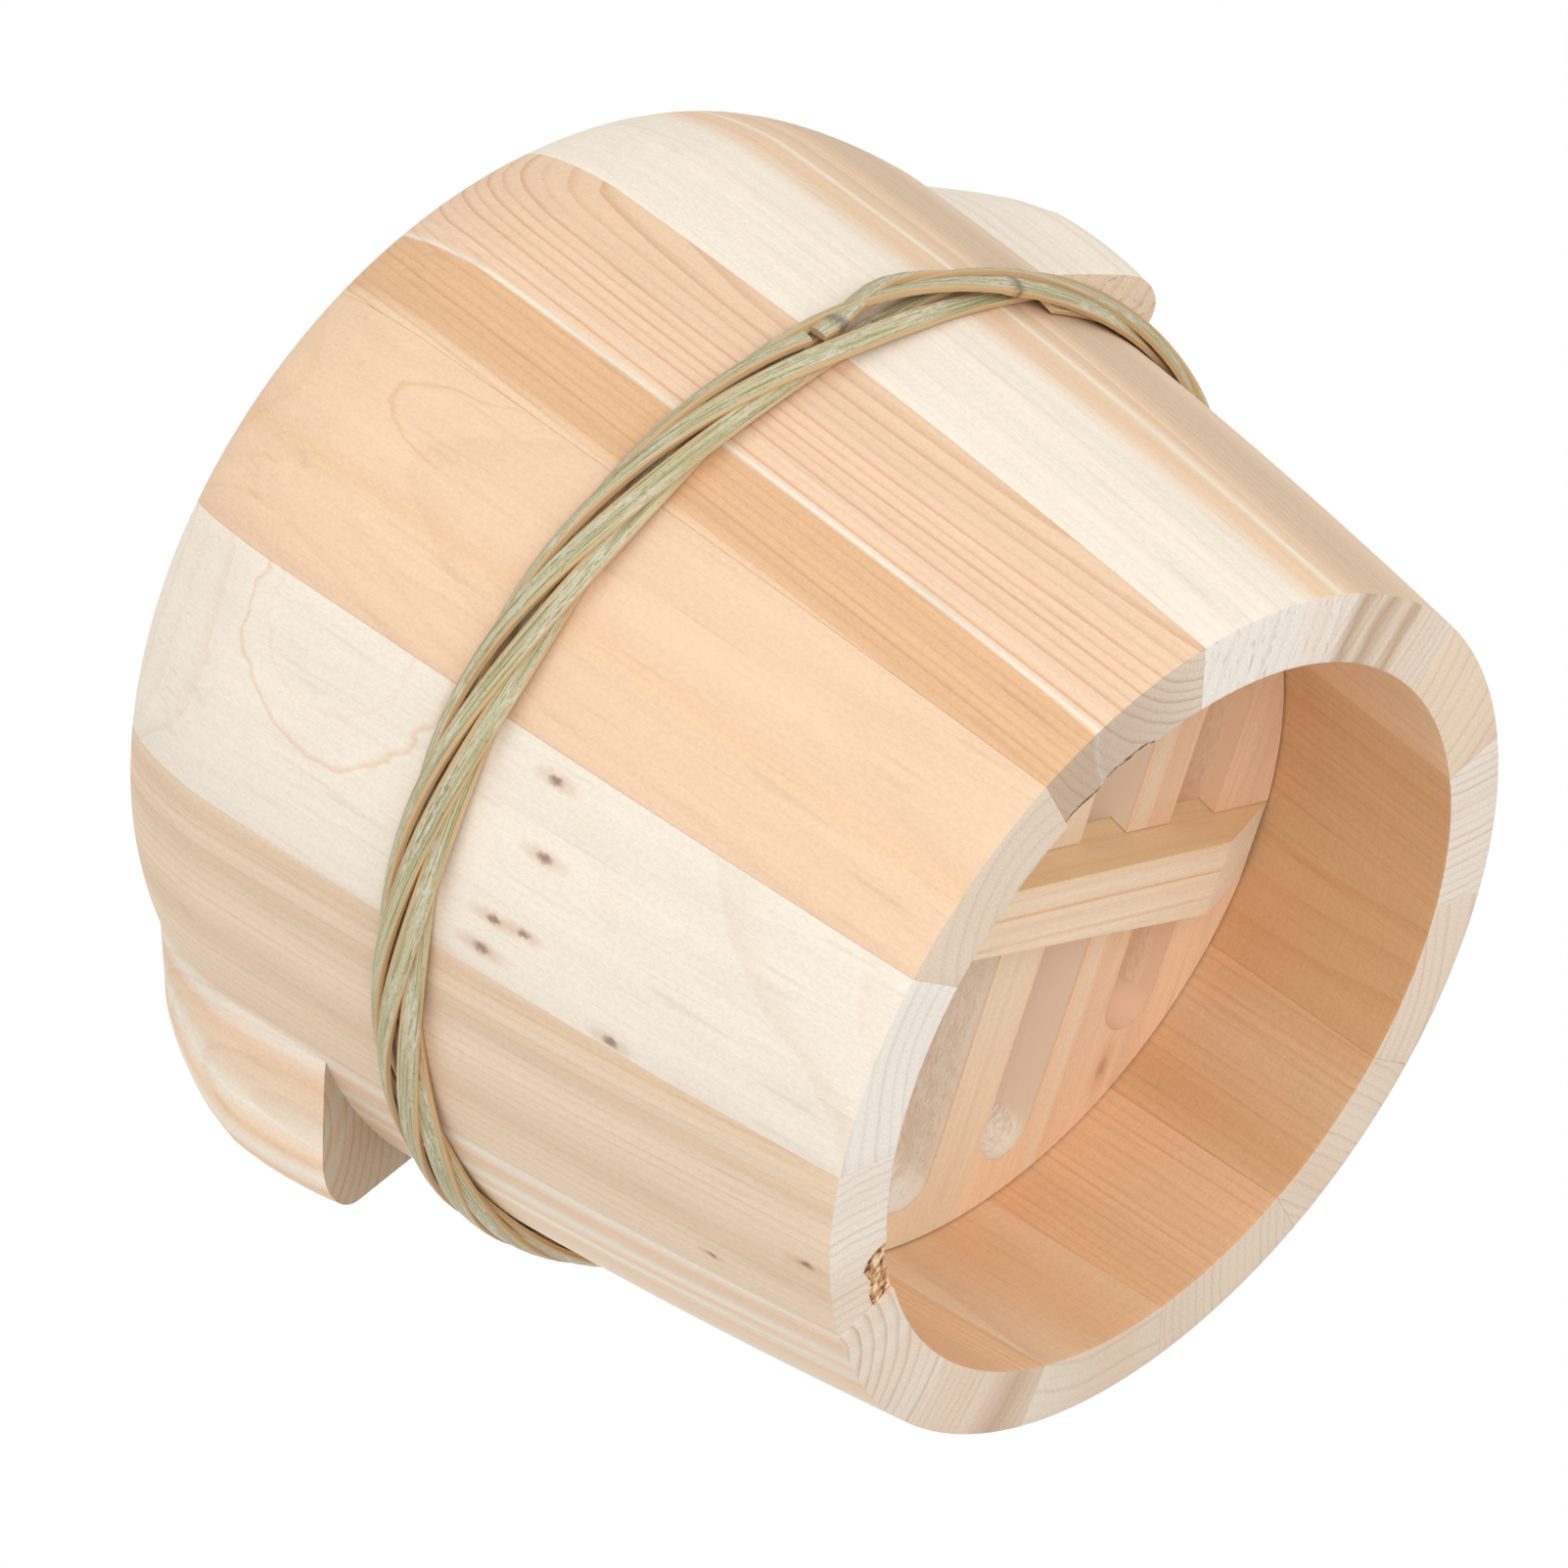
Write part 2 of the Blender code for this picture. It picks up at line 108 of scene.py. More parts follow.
class BarrelSizes(bpy.types.PropertyGroup):
    staves: whole("Staves", "Staves round the barrel, ears included", 14, 3)
    height: length("Height", "From the bottom rim to the mouth", CAD_HIGH.z)
    bottom_radius: length("Bottom radius", "Outside of the wall at the bottom", 0.100)
    shoulder_radius: length("Shoulder radius", "Widest part of the wall", CAD_HIGH.y)
    shoulder_height: length("Shoulder height", "Where the rim starts to round over", 0.172)
    bulge: length("Bulge", "How far the wall stands out from a straight taper", 0.0024)
    rim_radius: length("Rim radius", "Outside of the rounded rim at the top", 0.1165)
    bottom_bore: length("Bottom bore", "Inside of the wall at the bottom", 0.0845)
    mouth_bore: length("Mouth bore", "Inside of the wall at the mouth", 0.1082)
    mouth_chamfer: length("Mouth chamfer", "Small slope inside the mouth", 0.0015)
    seam: length("Seam", "Open line between two staves", 0.00004)
    edge_round: length("Edge round", "How much a cut edge has been eased", 0.0001)


class EarSizes(bpy.types.PropertyGroup):
    foot_height: length("Foot height", "Where the saw cut meets the wall", 0.1395)
    crest_rise: length("Crest rise", "Height of the furthest point above the foot", 0.0225)
    crest_radius: length("Crest radius", "Furthest reach of the ear", CAD_HIGH.x)
    tip_radius: length("Tip radius", "Reach of the ear at the saw cut", 0.139)
    rim_radius: length("Rim radius", "Reach of the ear where it meets the rim", 0.1245)
    undercut: angle("Undercut", "Slant of the saw cut below level", 27)
    nose_radius: length("Nose radius", "Round of the ear's outer edge", 0.013)
    side_margin: length("Side margin", "Plain wall left beside the ear", 0.003)


class HoopSizes(bpy.types.PropertyGroup):
    middle: length("Middle height", "Height of the bundle's middle", (HOOP_LOW.z + HOOP_HIGH.z) / 2)
    loops: whole("Loops", "Times the strip goes round the barrel", 5, 2)
    twists: whole("Twists", "Whole twists of the bundle in one loop", 4, 1)
    lift: length("Lift", "How far the bundle has crept up the taper", 0.00024)
    tilt: length("Tilt", "How much further the bundle sits up on its high side", 0.00305)
    high_side: angle("High side", "Where the bundle sits highest", 200)
    strip_width: length("Strip width", "Width of the split bamboo", 0.0046)
    strip_thickness: length("Strip thickness", "Thickness of the split bamboo", 0.0020)
    swing: length("Swing", "How far a strip moves in and out as the bundle twists", 0.0019)
    spread: length("Spread", "How far a strip moves up and down as the bundle twists", 0.0050)
    start: angle("Start", "Angle at which the strip starts and ends", 294)
    loose: angle("Loose part", "How far the strip's start bows away from the bundle", 24)
    bow: length("Bow", "Height of the loose part above its place", 0.0048)


class GrateSizes(bpy.types.PropertyGroup):
    underside: length("Underside", "Height of the boards' underside", BOARD_LOW.z)
    thickness: length("Thickness", "Thickness of the boards", BOARD_HIGH.z - BOARD_LOW.z)
    turn: angle("Turn", "Which way the boards run, from the ears", -42.9)
    fit: length("Fit", "Gap between the grate and the bore", 0.0005)
    boards: whole("Boards", "Boards side by side", 5, 1)
    board_width: length("Board width", "Width of an inner board", 0.031)
    joint: length("Joint", "Open line between two boards", 0.00005)
    slot_width: length("Slot width", "Width of a steam slot", 0.016)
    slot_margin: length("Slot margin", "Wood left between a slot and the edge", 0.010)
    tear: length("Tear", "Depth of the torn fibres in the slots", 0.0006)
    batten_drop: length("Batten drop", "Depth of the batten below the boards", 0.0114)
    batten_front: length("Batten front", "Straight side of the batten from the middle", 0.010)
    batten_wide: length("Batten wide end", "Width of the batten at its wide end", 0.0200)
    batten_narrow: length("Batten narrow end", "Width of the batten at its narrow end", 0.0125)
    batten_flat: length("Batten flat", "Where the end slopes start, from the middle", 0.063)
    tongue: length("Tongue", "Depth of the dovetail in the boards", 0.005)
    flare: length("Flare", "How much the dovetail widens", 0.0012)
    housing_gap: length("Housing gap", "Gap round the dovetail", 0.0002)


class WoodTones(bpy.types.PropertyGroup):
    cream: colour("Cream", "Palest sapwood", 250, 239, 223)
    peach: colour("Peach", "Warm flat-sawn wood", 246, 213, 180)
    pink: colour("Pink", "Pinkish straight-grained wood", 244, 209, 178)
    straw: colour("Straw", "Yellowish straight-grained wood", 245, 220, 180)
    tan: colour("Tan", "Dull straight-grained wood", 243, 218, 191)
    drab: colour("Drab", "Greyish straight-grained wood", 224, 196, 167)
    dun: colour("Dun", "Darker straight-grained wood", 236, 207, 177)
    brown: colour("Brown", "Heartwood bands", 233, 189, 147)
    heart: colour("Heart side", "Inside of the barrel", 238, 192, 146)
    heart_pale: colour("Pale heart side", "Lighter staves inside the barrel", 242, 206, 168)
    heart_dark: colour("Dark heart side", "Darker staves inside the barrel", 222, 178, 130)
    end: colour("End grain", "Sawn ends of the staves", 228, 214, 198)
    end_white: colour("White end grain", "Sawn ends of sapwood", 243, 236, 228)
    end_tan: colour("Tan end grain", "Sawn ends of heartwood", 235, 219, 203)
    end_grey: colour("Grey end grain", "Weathered sawn ends", 186, 169, 155)
    # Painted shade, not weathering: multiplied onto the sawn faces under an ear to darken them as if little
    # light fell there
    ear_cut_painted_shade: colour("Saw cut", "Weathering of the saw cuts under the ears", 188, 178, 164)
    end_brown: colour("Brown end grain", "Dark streaks on sawn ends", 186, 154, 128)
    line: colour("Ring line", "Late wood of a growth ring", 203, 147, 98)
    end_line: colour("End ring line", "Growth ring on sawn ends", 158, 139, 122)
    board: colour("Board", "Boards of the grate", 250, 217, 187)
    board_pale: colour("Pale board", "Lighter stripes of the grate", 247, 226, 199)
    # Pale fresh-cut wood, made lighter still as painted light against the shade inside the slots
    fresh_cut_and_painted_light: colour("Slot wall", "Freshly cut sides of the slots", 255, 229, 197)
    fibre: colour("Torn fibre", "Raw fibres in the slots", 255, 251, 242)
    knot: colour("Knot", "Heart of a pin knot", 120, 76, 56)
    bark: colour("Bark", "Bark left on an edge", 96, 58, 42)
    skin: colour("Bamboo skin", "Outside of the split bamboo", 206, 196, 156)
    olive: colour("Bamboo green", "Greener streaks of the skin", 146, 138, 94)
    bloom: colour("Bamboo bloom", "Pale waxy patches of the skin", 214, 208, 190)
    flesh: colour("Bamboo flesh", "Cut edges of the split bamboo", 210, 178, 133)
    node: colour("Bamboo node", "Dark ring at a node", 104, 92, 76)


class StageSizes(bpy.types.PropertyGroup):
    floor: colour("Floor", "Colour of the floor", 246, 245, 243)
    camera_place: point("Camera place", "Where the camera stands", -0.19457, -0.82284, -0.45848)
    camera_aim: point("Camera aim", "Point in the middle of the picture", -0.01652, -0.04755, 0.08221)
    camera_roll: angle("Camera roll", "Turn of the picture about its middle", 55.429)
    focal: amount("Focal length", "Lens for a 36 mm frame", 105.994, "CAMERA")
    ambient: amount("Ambient", "Level of the light from all round", 0.70)
    key: amount("Key", "Power of each large soft light, in front and behind", 2.1, "POWER")
    under: amount("Under", "Power of the light below", 4.0, "POWER")
    fill: amount("Fill", "Power of the light near the camera", 2.2, "POWER")


class SteamerSettings(bpy.types.PropertyGroup):
    barrel: PointerProperty(type=BarrelSizes)
    ears: PointerProperty(type=EarSizes)
    hoop: PointerProperty(type=HoopSizes)
    grate: PointerProperty(type=GrateSizes)
    wood: PointerProperty(type=WoodTones)
    stage: PointerProperty(type=StageSizes)


def settings():
    return bpy.context.scene.rice_steamer


# Shader helpers


def put(tree, kind, inputs=None, **options):
    """Adds a node, sets its options, and fills its inputs with values or links."""
    made = tree.nodes.new(kind)
    for key, value in options.items():
        setattr(made, key, value)
    for key, value in (inputs or {}).items():
        if isinstance(value, bpy.types.NodeSocket):
            tree.links.new(value, made.inputs[key])
        else:
            made.inputs[key].default_value = value
    return made


def calc(tree, operation, *values):
    return put(tree, "ShaderNodeMath", dict(enumerate(values)), operation=operation).outputs[0]


def times(tree, first, second):
    return calc(tree, "MULTIPLY", first, second)


def vector_calc(tree, operation, *values):
    made = put(tree, "ShaderNodeVectorMath", dict(enumerate(values)), operation=operation)
    return made.outputs["Value" if operation in ("LENGTH", "DOT_PRODUCT") else "Vector"]


def scaled(tree, vector, scale):
    return vector_calc(tree, "MULTIPLY", vector, scale)


def axis_of(tree, vector, axis):
    return put(tree, "ShaderNodeSeparateXYZ", {0: vector}).outputs[axis]


def ramped(tree, value, low, high, start=0, end=1):
    """A soft step from start to end while the value goes from low to high."""
    inputs = {"Value": value, "From Min": low, "From Max": high, "To Min": start, "To Max": end}
    return put(tree, "ShaderNodeMapRange", inputs, interpolation_type="SMOOTHSTEP").outputs["Result"]


def noisy(tree, vector, scale, detail=2, roughness=0.5, output="Fac"):
    """Noise with so many waves to a metre along each axis."""
    inputs = {"Vector": scaled(tree, vector, scale), "Scale": 1, "Detail": detail, "Roughness": roughness}
    return put(tree, "ShaderNodeTexNoise", inputs).outputs[output]


def wobble(tree, vector, scale, detail=2, roughness=0.5):
    """Noise in three directions, as much to one side as to the other."""
    made = noisy(tree, vector, scale, detail, roughness, "Color")
    return vector_calc(tree, "SUBTRACT", made, (0.5, 0.5, 0.5))


def moved(tree, vector, shift, place):
    """A vector shifted, and then measured from a place."""
    return vector_calc(tree, "SUBTRACT", vector_calc(tree, "ADD", vector, shift), place)


def mixed(tree, factor, first, second, blend="MIX"):
    inputs = {"Factor": factor, 6: first, 7: second}
    return put(tree, "ShaderNodeMix", inputs, data_type="RGBA", blend_type=blend).outputs[2]


def tone(name):
    """A named wood tone, as a shader takes it."""
    return (*getattr(settings().wood, name), 1)


def tinted(tree, factor, base, name, blend="MIX"):
    return mixed(tree, factor, base, tone(name), blend)


def shaded(tree, value, base):
    """The same colour, lighter or darker."""
    return put(tree, "ShaderNodeHueSaturation", {"Value": value, "Color": base}).outputs[0]


def attribute(tree, name):
    return put(tree, "ShaderNodeAttribute", attribute_name=name).outputs["Fac"]


def new_material(name):
    material = bpy.data.materials.new(name)
    material.use_nodes = True
    return material, material.node_tree, material.node_tree.nodes["Principled BSDF"]


def paint(tree, shader, surface, roughness, height, strength, depth):
    """Links a finished colour, roughness and relief to the shader."""
    tree.links.new(surface, shader.inputs["Base Color"])
    tree.links.new(roughness, shader.inputs["Roughness"])
    bump = put(tree, "ShaderNodeBump", {"Strength": strength, "Distance": depth, "Height": height})
    tree.links.new(bump.outputs[0], shader.inputs["Normal"])


def new_group(name, vectors, numbers, outputs):
    """An empty shader group with its sockets, as (tree, input sockets, output sockets)."""
    tree = bpy.data.node_groups.new(name, "ShaderNodeTree")
    for kind, sockets in (("Vector", vectors), ("Float", numbers)):
        for socket in sockets:
            tree.interface.new_socket(socket, in_out="INPUT", socket_type=f"NodeSocket{kind}")
    for socket in outputs:
        tree.interface.new_socket(socket, in_out="OUTPUT", socket_type="NodeSocketFloat")
    return tree, tree.nodes.new("NodeGroupInput").outputs, tree.nodes.new("NodeGroupOutput").inputs


def use_group(tree, name, inputs):
    return put(tree, "ShaderNodeGroup", inputs, node_tree=bpy.data.node_groups[name]).outputs


# Wood

# What a piece of wood is like where its own cut doesn't say
PLAIN_WOOD = {
    "taper": 0.01, "straight": -1, "wander": 0.006, "heart": "heart", "loops": (), "flecks": (), "knots": (),
    "knot_depth": 0.68, "end": ((0, "end"), (1, "end")), "end_contrast": 0.25,
    "slot": "fresh_cut_and_painted_light", "fibre": "fibre", "bark": 0.46,
}
BAND_DRIFT = 0.0035
# Height over which the painted shade under an ear fades in and out
EAR_SHADE_FADE = 0.01
FLECK_FADE = 0.001
PLANK_IN_SAWN = 0.3
KNOT_HALO = 0.3
TORN_RELIEF = 12
BARK_RELIEF = 6


def make_growth_rings():
    """Growth rings round a pith line: dark late-wood lines, and a slow tone from ring to ring."""
    tree, given, result = new_group(
        "growth_rings", ("Vector", "Pith"), ("Spacing", "Taper", "Straight", "Wander"), ("Line", "Tone")
    )
    bend = wobble(tree, given["Vector"], (17, 17, 4.5), 1, 0.4)
    bend = put(tree, "ShaderNodeVectorMath", {0: bend, "Scale": given["Wander"]}, operation="SCALE")
    ripple = scaled(tree, wobble(tree, given["Vector"], (150, 150, 14)), (0.0011, 0.0011, 0))
    place = moved(tree, vector_calc(tree, "ADD", given["Vector"], bend.outputs[0]), ripple, given["Pith"])
    across = vector_calc(tree, "LENGTH", scaled(tree, place, (1, 1, 0)))
    along = calc(tree, "MAXIMUM", axis_of(tree, place, "Z"), given["Straight"])
    distance = calc(tree, "MULTIPLY_ADD", along, given["Taper"], across)
    ring = calc(tree, "DIVIDE", distance, given["Spacing"])
    share = calc(tree, "FRACT", ring)
    late_wood = calc(tree, "POWER", ramped(tree, share, 0.25, 0.93), 3)
    line = times(tree, late_wood, ramped(tree, share, 0.94, 1.0, 1, 0))
    year = put(tree, "ShaderNodeTexWhiteNoise", {"W": calc(tree, "FLOOR", ring)}, noise_dimensions="1D")
    strength = ramped(tree, year.outputs["Value"], 0, 1, 0.3, 1)
    tree.links.new(times(tree, line, strength), result["Line"])
    inputs = {"W": times(tree, ring, 0.31), "Scale": 1, "Detail": 2}
    slow = put(tree, "ShaderNodeTexNoise", inputs, noise_dimensions="1D")
    tree.links.new(slow.outputs["Fac"], result["Tone"])


def make_fibres():
    """Fine fibres along Z: light and dark streaks, short dark flecks, and open pores on sawn ends."""
    tree, given, result = new_group("wood_fibres", ("Vector",), (), ("Streak", "Fleck", "Pore"))
    tree.links.new(noisy(tree, given["Vector"], (900, 900, 9), 3, 0.6), result["Streak"])
    fleck = noisy(tree, given["Vector"], (620, 620, 34), 0)
    tree.links.new(ramped(tree, fleck, 0.66, 0.8), result["Fleck"])
    pore = noisy(tree, given["Vector"], (1500, 1500, 900), 1)
    tree.links.new(ramped(tree, pore, 0.35, 0.7), result["Pore"])


def make_pin_knot():
    """A small knot that runs through the wall along X, with a stained halo drawn out along the grain."""
    tree, given, result = new_group("pin_knot", ("Vector", "Place"), ("Size",), ("Core", "Halo"))
    ragged = scaled(tree, wobble(tree, given["Vector"], (700, 700, 700), 2, 0.6), (0.0016, 0.0016, 0.0016))
    place = moved(tree, given["Vector"], ragged, given["Place"])
    for output, squash, inner, outer in (("Core", 0.5, 0.25, 1.2), ("Halo", 0.3, 0.6, 2.2)):
        reach = vector_calc(tree, "LENGTH", scaled(tree, place, (0, 1, squash)))
        reach = calc(tree, "DIVIDE", reach, given["Size"])
        tree.links.new(ramped(tree, reach, inner, outer, 1, 0), result[output])


def make_grain_loop():
    """One wandering growth line that closes in a loop on a flat-sawn face, and fades out below its foot."""
    tree, given, result = new_group("grain_loop", ("Vector", "Place", "Stretch"), ("Foot",), ("Line",))
    wander = scaled(tree, wobble(tree, given["Vector"], (0, 95, 60)), (0, 0.006, 0.012))
    place = moved(tree, given["Vector"], wander, given["Place"])
    distance = vector_calc(tree, "LENGTH", scaled(tree, place, given["Stretch"]))
    inside = calc(tree, "POWER", ramped(tree, distance, 0.93, 1.0), 1.6)
    line = times(tree, inside, ramped(tree, distance, 1.0, 1.03, 1, 0))
    above = calc(tree, "SUBTRACT", axis_of(tree, given["Vector"], "Z"), given["Foot"])
    tree.links.new(times(tree, line, ramped(tree, times(tree, above, 40), 0, 1)), result["Line"])


def grain_space(tree, rotation, lean):
    """Object space turned so that Z runs along the grain, with X leaning as a sloping wall does."""
    here = put(tree, "ShaderNodeTexCoord").outputs["Object"]
    turned = put(tree, "ShaderNodeMapping", {"Vector": here, "Rotation": rotation}).outputs[0]
    parts = put(tree, "ShaderNodeSeparateXYZ", {0: turned}).outputs
    depth = calc(tree, "MULTIPLY_ADD", parts["Z"], -lean, parts["X"])
    return put(tree, "ShaderNodeCombineXYZ", {"X": depth, "Y": parts["Y"], "Z": parts["Z"]}).outputs[0]


def sawn_mask(tree, rotation, low=0.74, high=0.88):
    """1 on faces sawn across the grain, read from the surface's own direction."""
    facing = put(tree, "ShaderNodeTexCoord").outputs["Normal"]
    facing = put(tree, "ShaderNodeMapping", {"Vector": facing, "Rotation": rotation}).outputs[0]
    return ramped(tree, calc(tree, "ABSOLUTE", axis_of(tree, facing, "Z")), low, high)


def inside_mask(tree):
    """1 on surfaces that face the barrel's axis."""
    here = put(tree, "ShaderNodeTexCoord").outputs
    outward = vector_calc(tree, "NORMALIZE", scaled(tree, here["Object"], (1, 1, 0)))
    return ramped(tree, vector_calc(tree, "DOT_PRODUCT", outward, here["Normal"]), -0.7, -0.4, 1, 0)


def tone_bands(tree, spot, bands, span):
    """Bands of heartwood and sapwood side by side across the grain, with edges that wander a little."""
    drift = noisy(tree, spot, (45, 45, 4))
    side = calc(tree, "MULTIPLY_ADD", drift, 2 * BAND_DRIFT, axis_of(tree, spot, "Y"))
    inputs = {"Value": side, "From Min": span[0] + BAND_DRIFT, "From Max": span[1] + BAND_DRIFT}
    ramp = put(tree, "ShaderNodeValToRGB", {0: put(tree, "ShaderNodeMapRange", inputs).outputs["Result"]})
    stops = ramp.color_ramp.elements
    while len(stops) < len(bands):
        stops.new(1)
    for stop, (position, name) in zip(stops, bands):
        stop.position = position
        stop.color = tone(name)
    return ramp.outputs[0]


def plank_colour(tree, spot, rotation, figure, span, rings, fibres):
    """Faces along the grain: tone bands, ring lines, loops and fibres, darker inside the barrel."""
    plank = tone_bands(tree, spot, figure["bands"], span)
    if "inside" in figure:
        within = inside_mask(tree)
        plank = tinted(tree, times(tree, within, figure["inside"]), plank, figure["heart"])
    plank = tinted(tree, times(tree, rings["Line"], figure["contrast"]), plank, "line")
    for across, height, wide, tall, strength, foot in figure["loops"]:
        loop = use_group(tree, "grain_loop", {
            "Vector": spot, "Place": (0, across, height), "Stretch": (0, 1 / wide, 1 / tall), "Foot": foot,
        })
        plank = tinted(tree, times(tree, loop["Line"], strength), plank, "brown")
    broad = ramped(tree, noisy(tree, spot, (30, 110, 5)), 0.25, 0.75, 0.92, 0.98)
    shade = calc(tree, "MULTIPLY_ADD", rings["Tone"], 0.10, broad)
    shade = times(tree, shade, ramped(tree, fibres["Streak"], 0.25, 0.75, 0.965, 1.02))
    shade = calc(tree, "MULTIPLY_ADD", fibres["Fleck"], -0.06, shade)
    shade = times(tree, shade, ramped(tree, fibres["Pore"], 0, 1, 1.02, 0.968))
    if "inside" in figure:
        tool_marks = ramped(tree, noisy(tree, spot, (12, 12, 1100), 2, 0.6), 0.35, 0.65, -0.02, 0.012)
        shade = calc(tree, "MULTIPLY_ADD", within, tool_marks, shade)
    # Slanting sawn faces, such as the batten's end slopes, take their own tone: paler cut wood, lightened
    # further as painted light where they face away from the lamps
    if "slope" in figure:
        plank = tinted(tree, sawn_mask(tree, rotation, 0.25, 0.4), plank, figure["slope"])
    return shaded(tree, shade, plank)


def sawn_colour(tree, spot, figure, span, rings, fibres, plank):
    """Faces sawn across the grain: ring lines, painted shade on the saw cut under an ear, flecks and open
    pores.
    """
    sawn = tone_bands(tree, spot, figure["end"], span)
    sawn = tinted(tree, times(tree, rings["Line"], figure["end_contrast"]), sawn, "end_line")
    height = axis_of(tree, spot, "Z")
    # Painted shade: sawn faces between the two heights are darkened, as the saw cut under the ear lies in
    # shade
    if "ear_shade_heights" in figure:
        low, high = figure["ear_shade_heights"]
        ear_cut_shade = ramped(tree, height, low, low + EAR_SHADE_FADE)
        ear_cut_shade = times(tree, ear_cut_shade, ramped(tree, height, high - EAR_SHADE_FADE, high, 1, 0))
        sawn = tinted(tree, ear_cut_shade, sawn, "ear_cut_painted_shade", "MULTIPLY")
    for radial, across, strength, low in figure["flecks"]:
        spots = ramped(tree, noisy(tree, spot, (radial, across, 300), 1), 0.6, 0.72, 0, strength)
        spots = times(tree, spots, ramped(tree, height, low, low + FLECK_FADE))
        sawn = tinted(tree, spots, sawn, "end_brown")
    sawn = shaded(tree, ramped(tree, fibres["Pore"], 0, 1, 1.02, 0.93), sawn)
    return mixed(tree, PLANK_IN_SAWN, sawn, plank)


def slot_colour(tree, surface, figure, raw, torn):
    """Freshly cut slot walls, pale wood lightened further with painted light, with tufts of fibre where they
    tore and painted shade in the hollows between them.
    """
    # The slot walls take their own tone: fresh pale wood, lightened further as painted light
    cut_side = ramped(tree, attribute(tree, "slot"), 0, 0.6, 0, 0.85)
    surface = tinted(tree, cut_side, surface, figure["slot"])
    tufts = times(tree, torn, ramped(tree, raw, 0.44, 0.58))
    surface = tinted(tree, tufts, surface, figure["fibre"])
    # Painted shade: the torn wall is darkened in the hollows between the tufts
    hollow_shade = ramped(tree, raw, 0.34, 0.46, -0.08, 0)
    return shaded(tree, calc(tree, "MULTIPLY_ADD", torn, hollow_shade, 1), surface)


def bark_colour(tree, surface, figure, spot, raw, bark):
    """Flaking bark where a corner was left as the log grew; its dark crust also stands in for the shadow in
    the wane, as painted shadow.
    """
    patch = noisy(tree, spot, (420, 420, 200), 3, 0.6)
    crust = mixed(tree, ramped(tree, patch, 0.5, 0.62), tone("line"), tone("straw"))
    dark_crust_and_shade = figure["bark"]
    crust = tinted(tree, ramped(tree, patch, dark_crust_and_shade - 0.08, dark_crust_and_shade, 1, 0), crust, "bark")
    edge = ramped(tree, calc(tree, "MULTIPLY_ADD", raw, 0.8, bark), 0.75, 1.1)
    return mixed(tree, edge, surface, crust)


def wood_material(name, rotation, cut, span, lean=0):
    """Solid wood: the same rings show on the faces, the edges and the sawn ends."""
    figure = {**PLAIN_WOOD, **cut}
    material, tree, shader = new_material(name)
    spot = grain_space(tree, rotation, lean)
    rings = use_group(tree, "growth_rings", {
        "Vector": spot, "Pith": (*figure["pith"], 0), "Spacing": figure["spacing"],
        "Taper": figure["taper"], "Straight": figure["straight"], "Wander": figure["wander"],
    })
    fibres = use_group(tree, "wood_fibres", {"Vector": spot})
    plank = plank_colour(tree, spot, rotation, figure, span, rings, fibres)
    sawn = sawn_colour(tree, spot, figure, span, rings, fibres, plank)
    surface = mixed(tree, sawn_mask(tree, rotation), plank, sawn)
    for across, height, size in figure["knots"]:
        knot = use_group(tree, "pin_knot", {"Vector": spot, "Place": (0, across, height), "Size": size})
        surface = tinted(tree, times(tree, knot["Halo"], KNOT_HALO), surface, "line")
        surface = tinted(tree, times(tree, knot["Core"], figure["knot_depth"]), surface, "knot")
    raw = noisy(tree, spot, (1100, 1100, 420), 3, 0.65)
    torn = attribute(tree, "torn")
    bark = attribute(tree, "bark")
    surface = slot_colour(tree, surface, figure, raw, torn)
    surface = bark_colour(tree, surface, figure, spot, raw, bark)
    roughness = ramped(tree, fibres["Streak"], 0.2, 0.8, 0.52, 0.66)
    relief = calc(tree, "MULTIPLY_ADD", rings["Line"], 0.3, times(tree, fibres["Streak"], 0.8))
    ragged = calc(tree, "MAXIMUM", times(tree, torn, TORN_RELIEF), times(tree, bark, BARK_RELIEF))
    relief = calc(tree, "MULTIPLY_ADD", raw, ragged, relief)
    paint(tree, shader, surface, roughness, relief, 0.25, 0.0003)
    shader.inputs["Specular IOR Level"].default_value = 0.3
    return material


# Barrel shape

SHARP_EDGE = math.radians(40)
SMOOTH_LIMIT = math.radians(32)
WALL_STEPS = 24
RIM_STEPS = 12
SPIN_STEPS = 12
WANE_SPIN_STEPS = 48
# Steps away from the bottom inner corner, along the sawn end and up the bore
CORNER_STEPS = (0.0012, 0.0025, 0.0042, 0.0065, 0.0090, 0.0120)
WANE_WAVES = 140
WANE_LEAST_REACH = 0.05
WANE_CORNER_SHARE = 0.02


def clamp(value):
    return max(0, min(1, value))


def wall_radius(height):
    """Outside of the barrel below the shoulder."""
    size = settings().barrel
    rise = height / size.shoulder_height
    taper = (size.shoulder_radius - size.bottom_radius) * rise
    return size.bottom_radius + taper + 4 * size.bulge * rise * (1 - rise)


def outer_radius(height):
    """Outside of the barrel, rounded over above the shoulder."""
    size = settings().barrel
    if height <= size.shoulder_height:
        return wall_radius(height)
    rise = min(1, (height - size.shoulder_height) / (size.height - size.shoulder_height))
    return size.rim_radius + (size.shoulder_radius - size.rim_radius) * math.sqrt(1 - rise**2)


def bore_radius(height):
    """Inside of the barrel, with the small chamfer at the mouth."""
    size = settings().barrel
    chamfer = max(0, height - size.height + size.mouth_chamfer)
    return size.bottom_bore + (size.mouth_bore - size.bottom_bore) * height / size.height + chamfer


def rim_heights(steps):
    """Heights from the shoulder to the mouth, closer together where the rim turns over."""
    size = settings().barrel
    turns = [math.pi / 2 * step / steps for step in range(steps + 1)]
    return [size.shoulder_height + (size.height - size.shoulder_height) * math.sin(turn) for turn in turns]


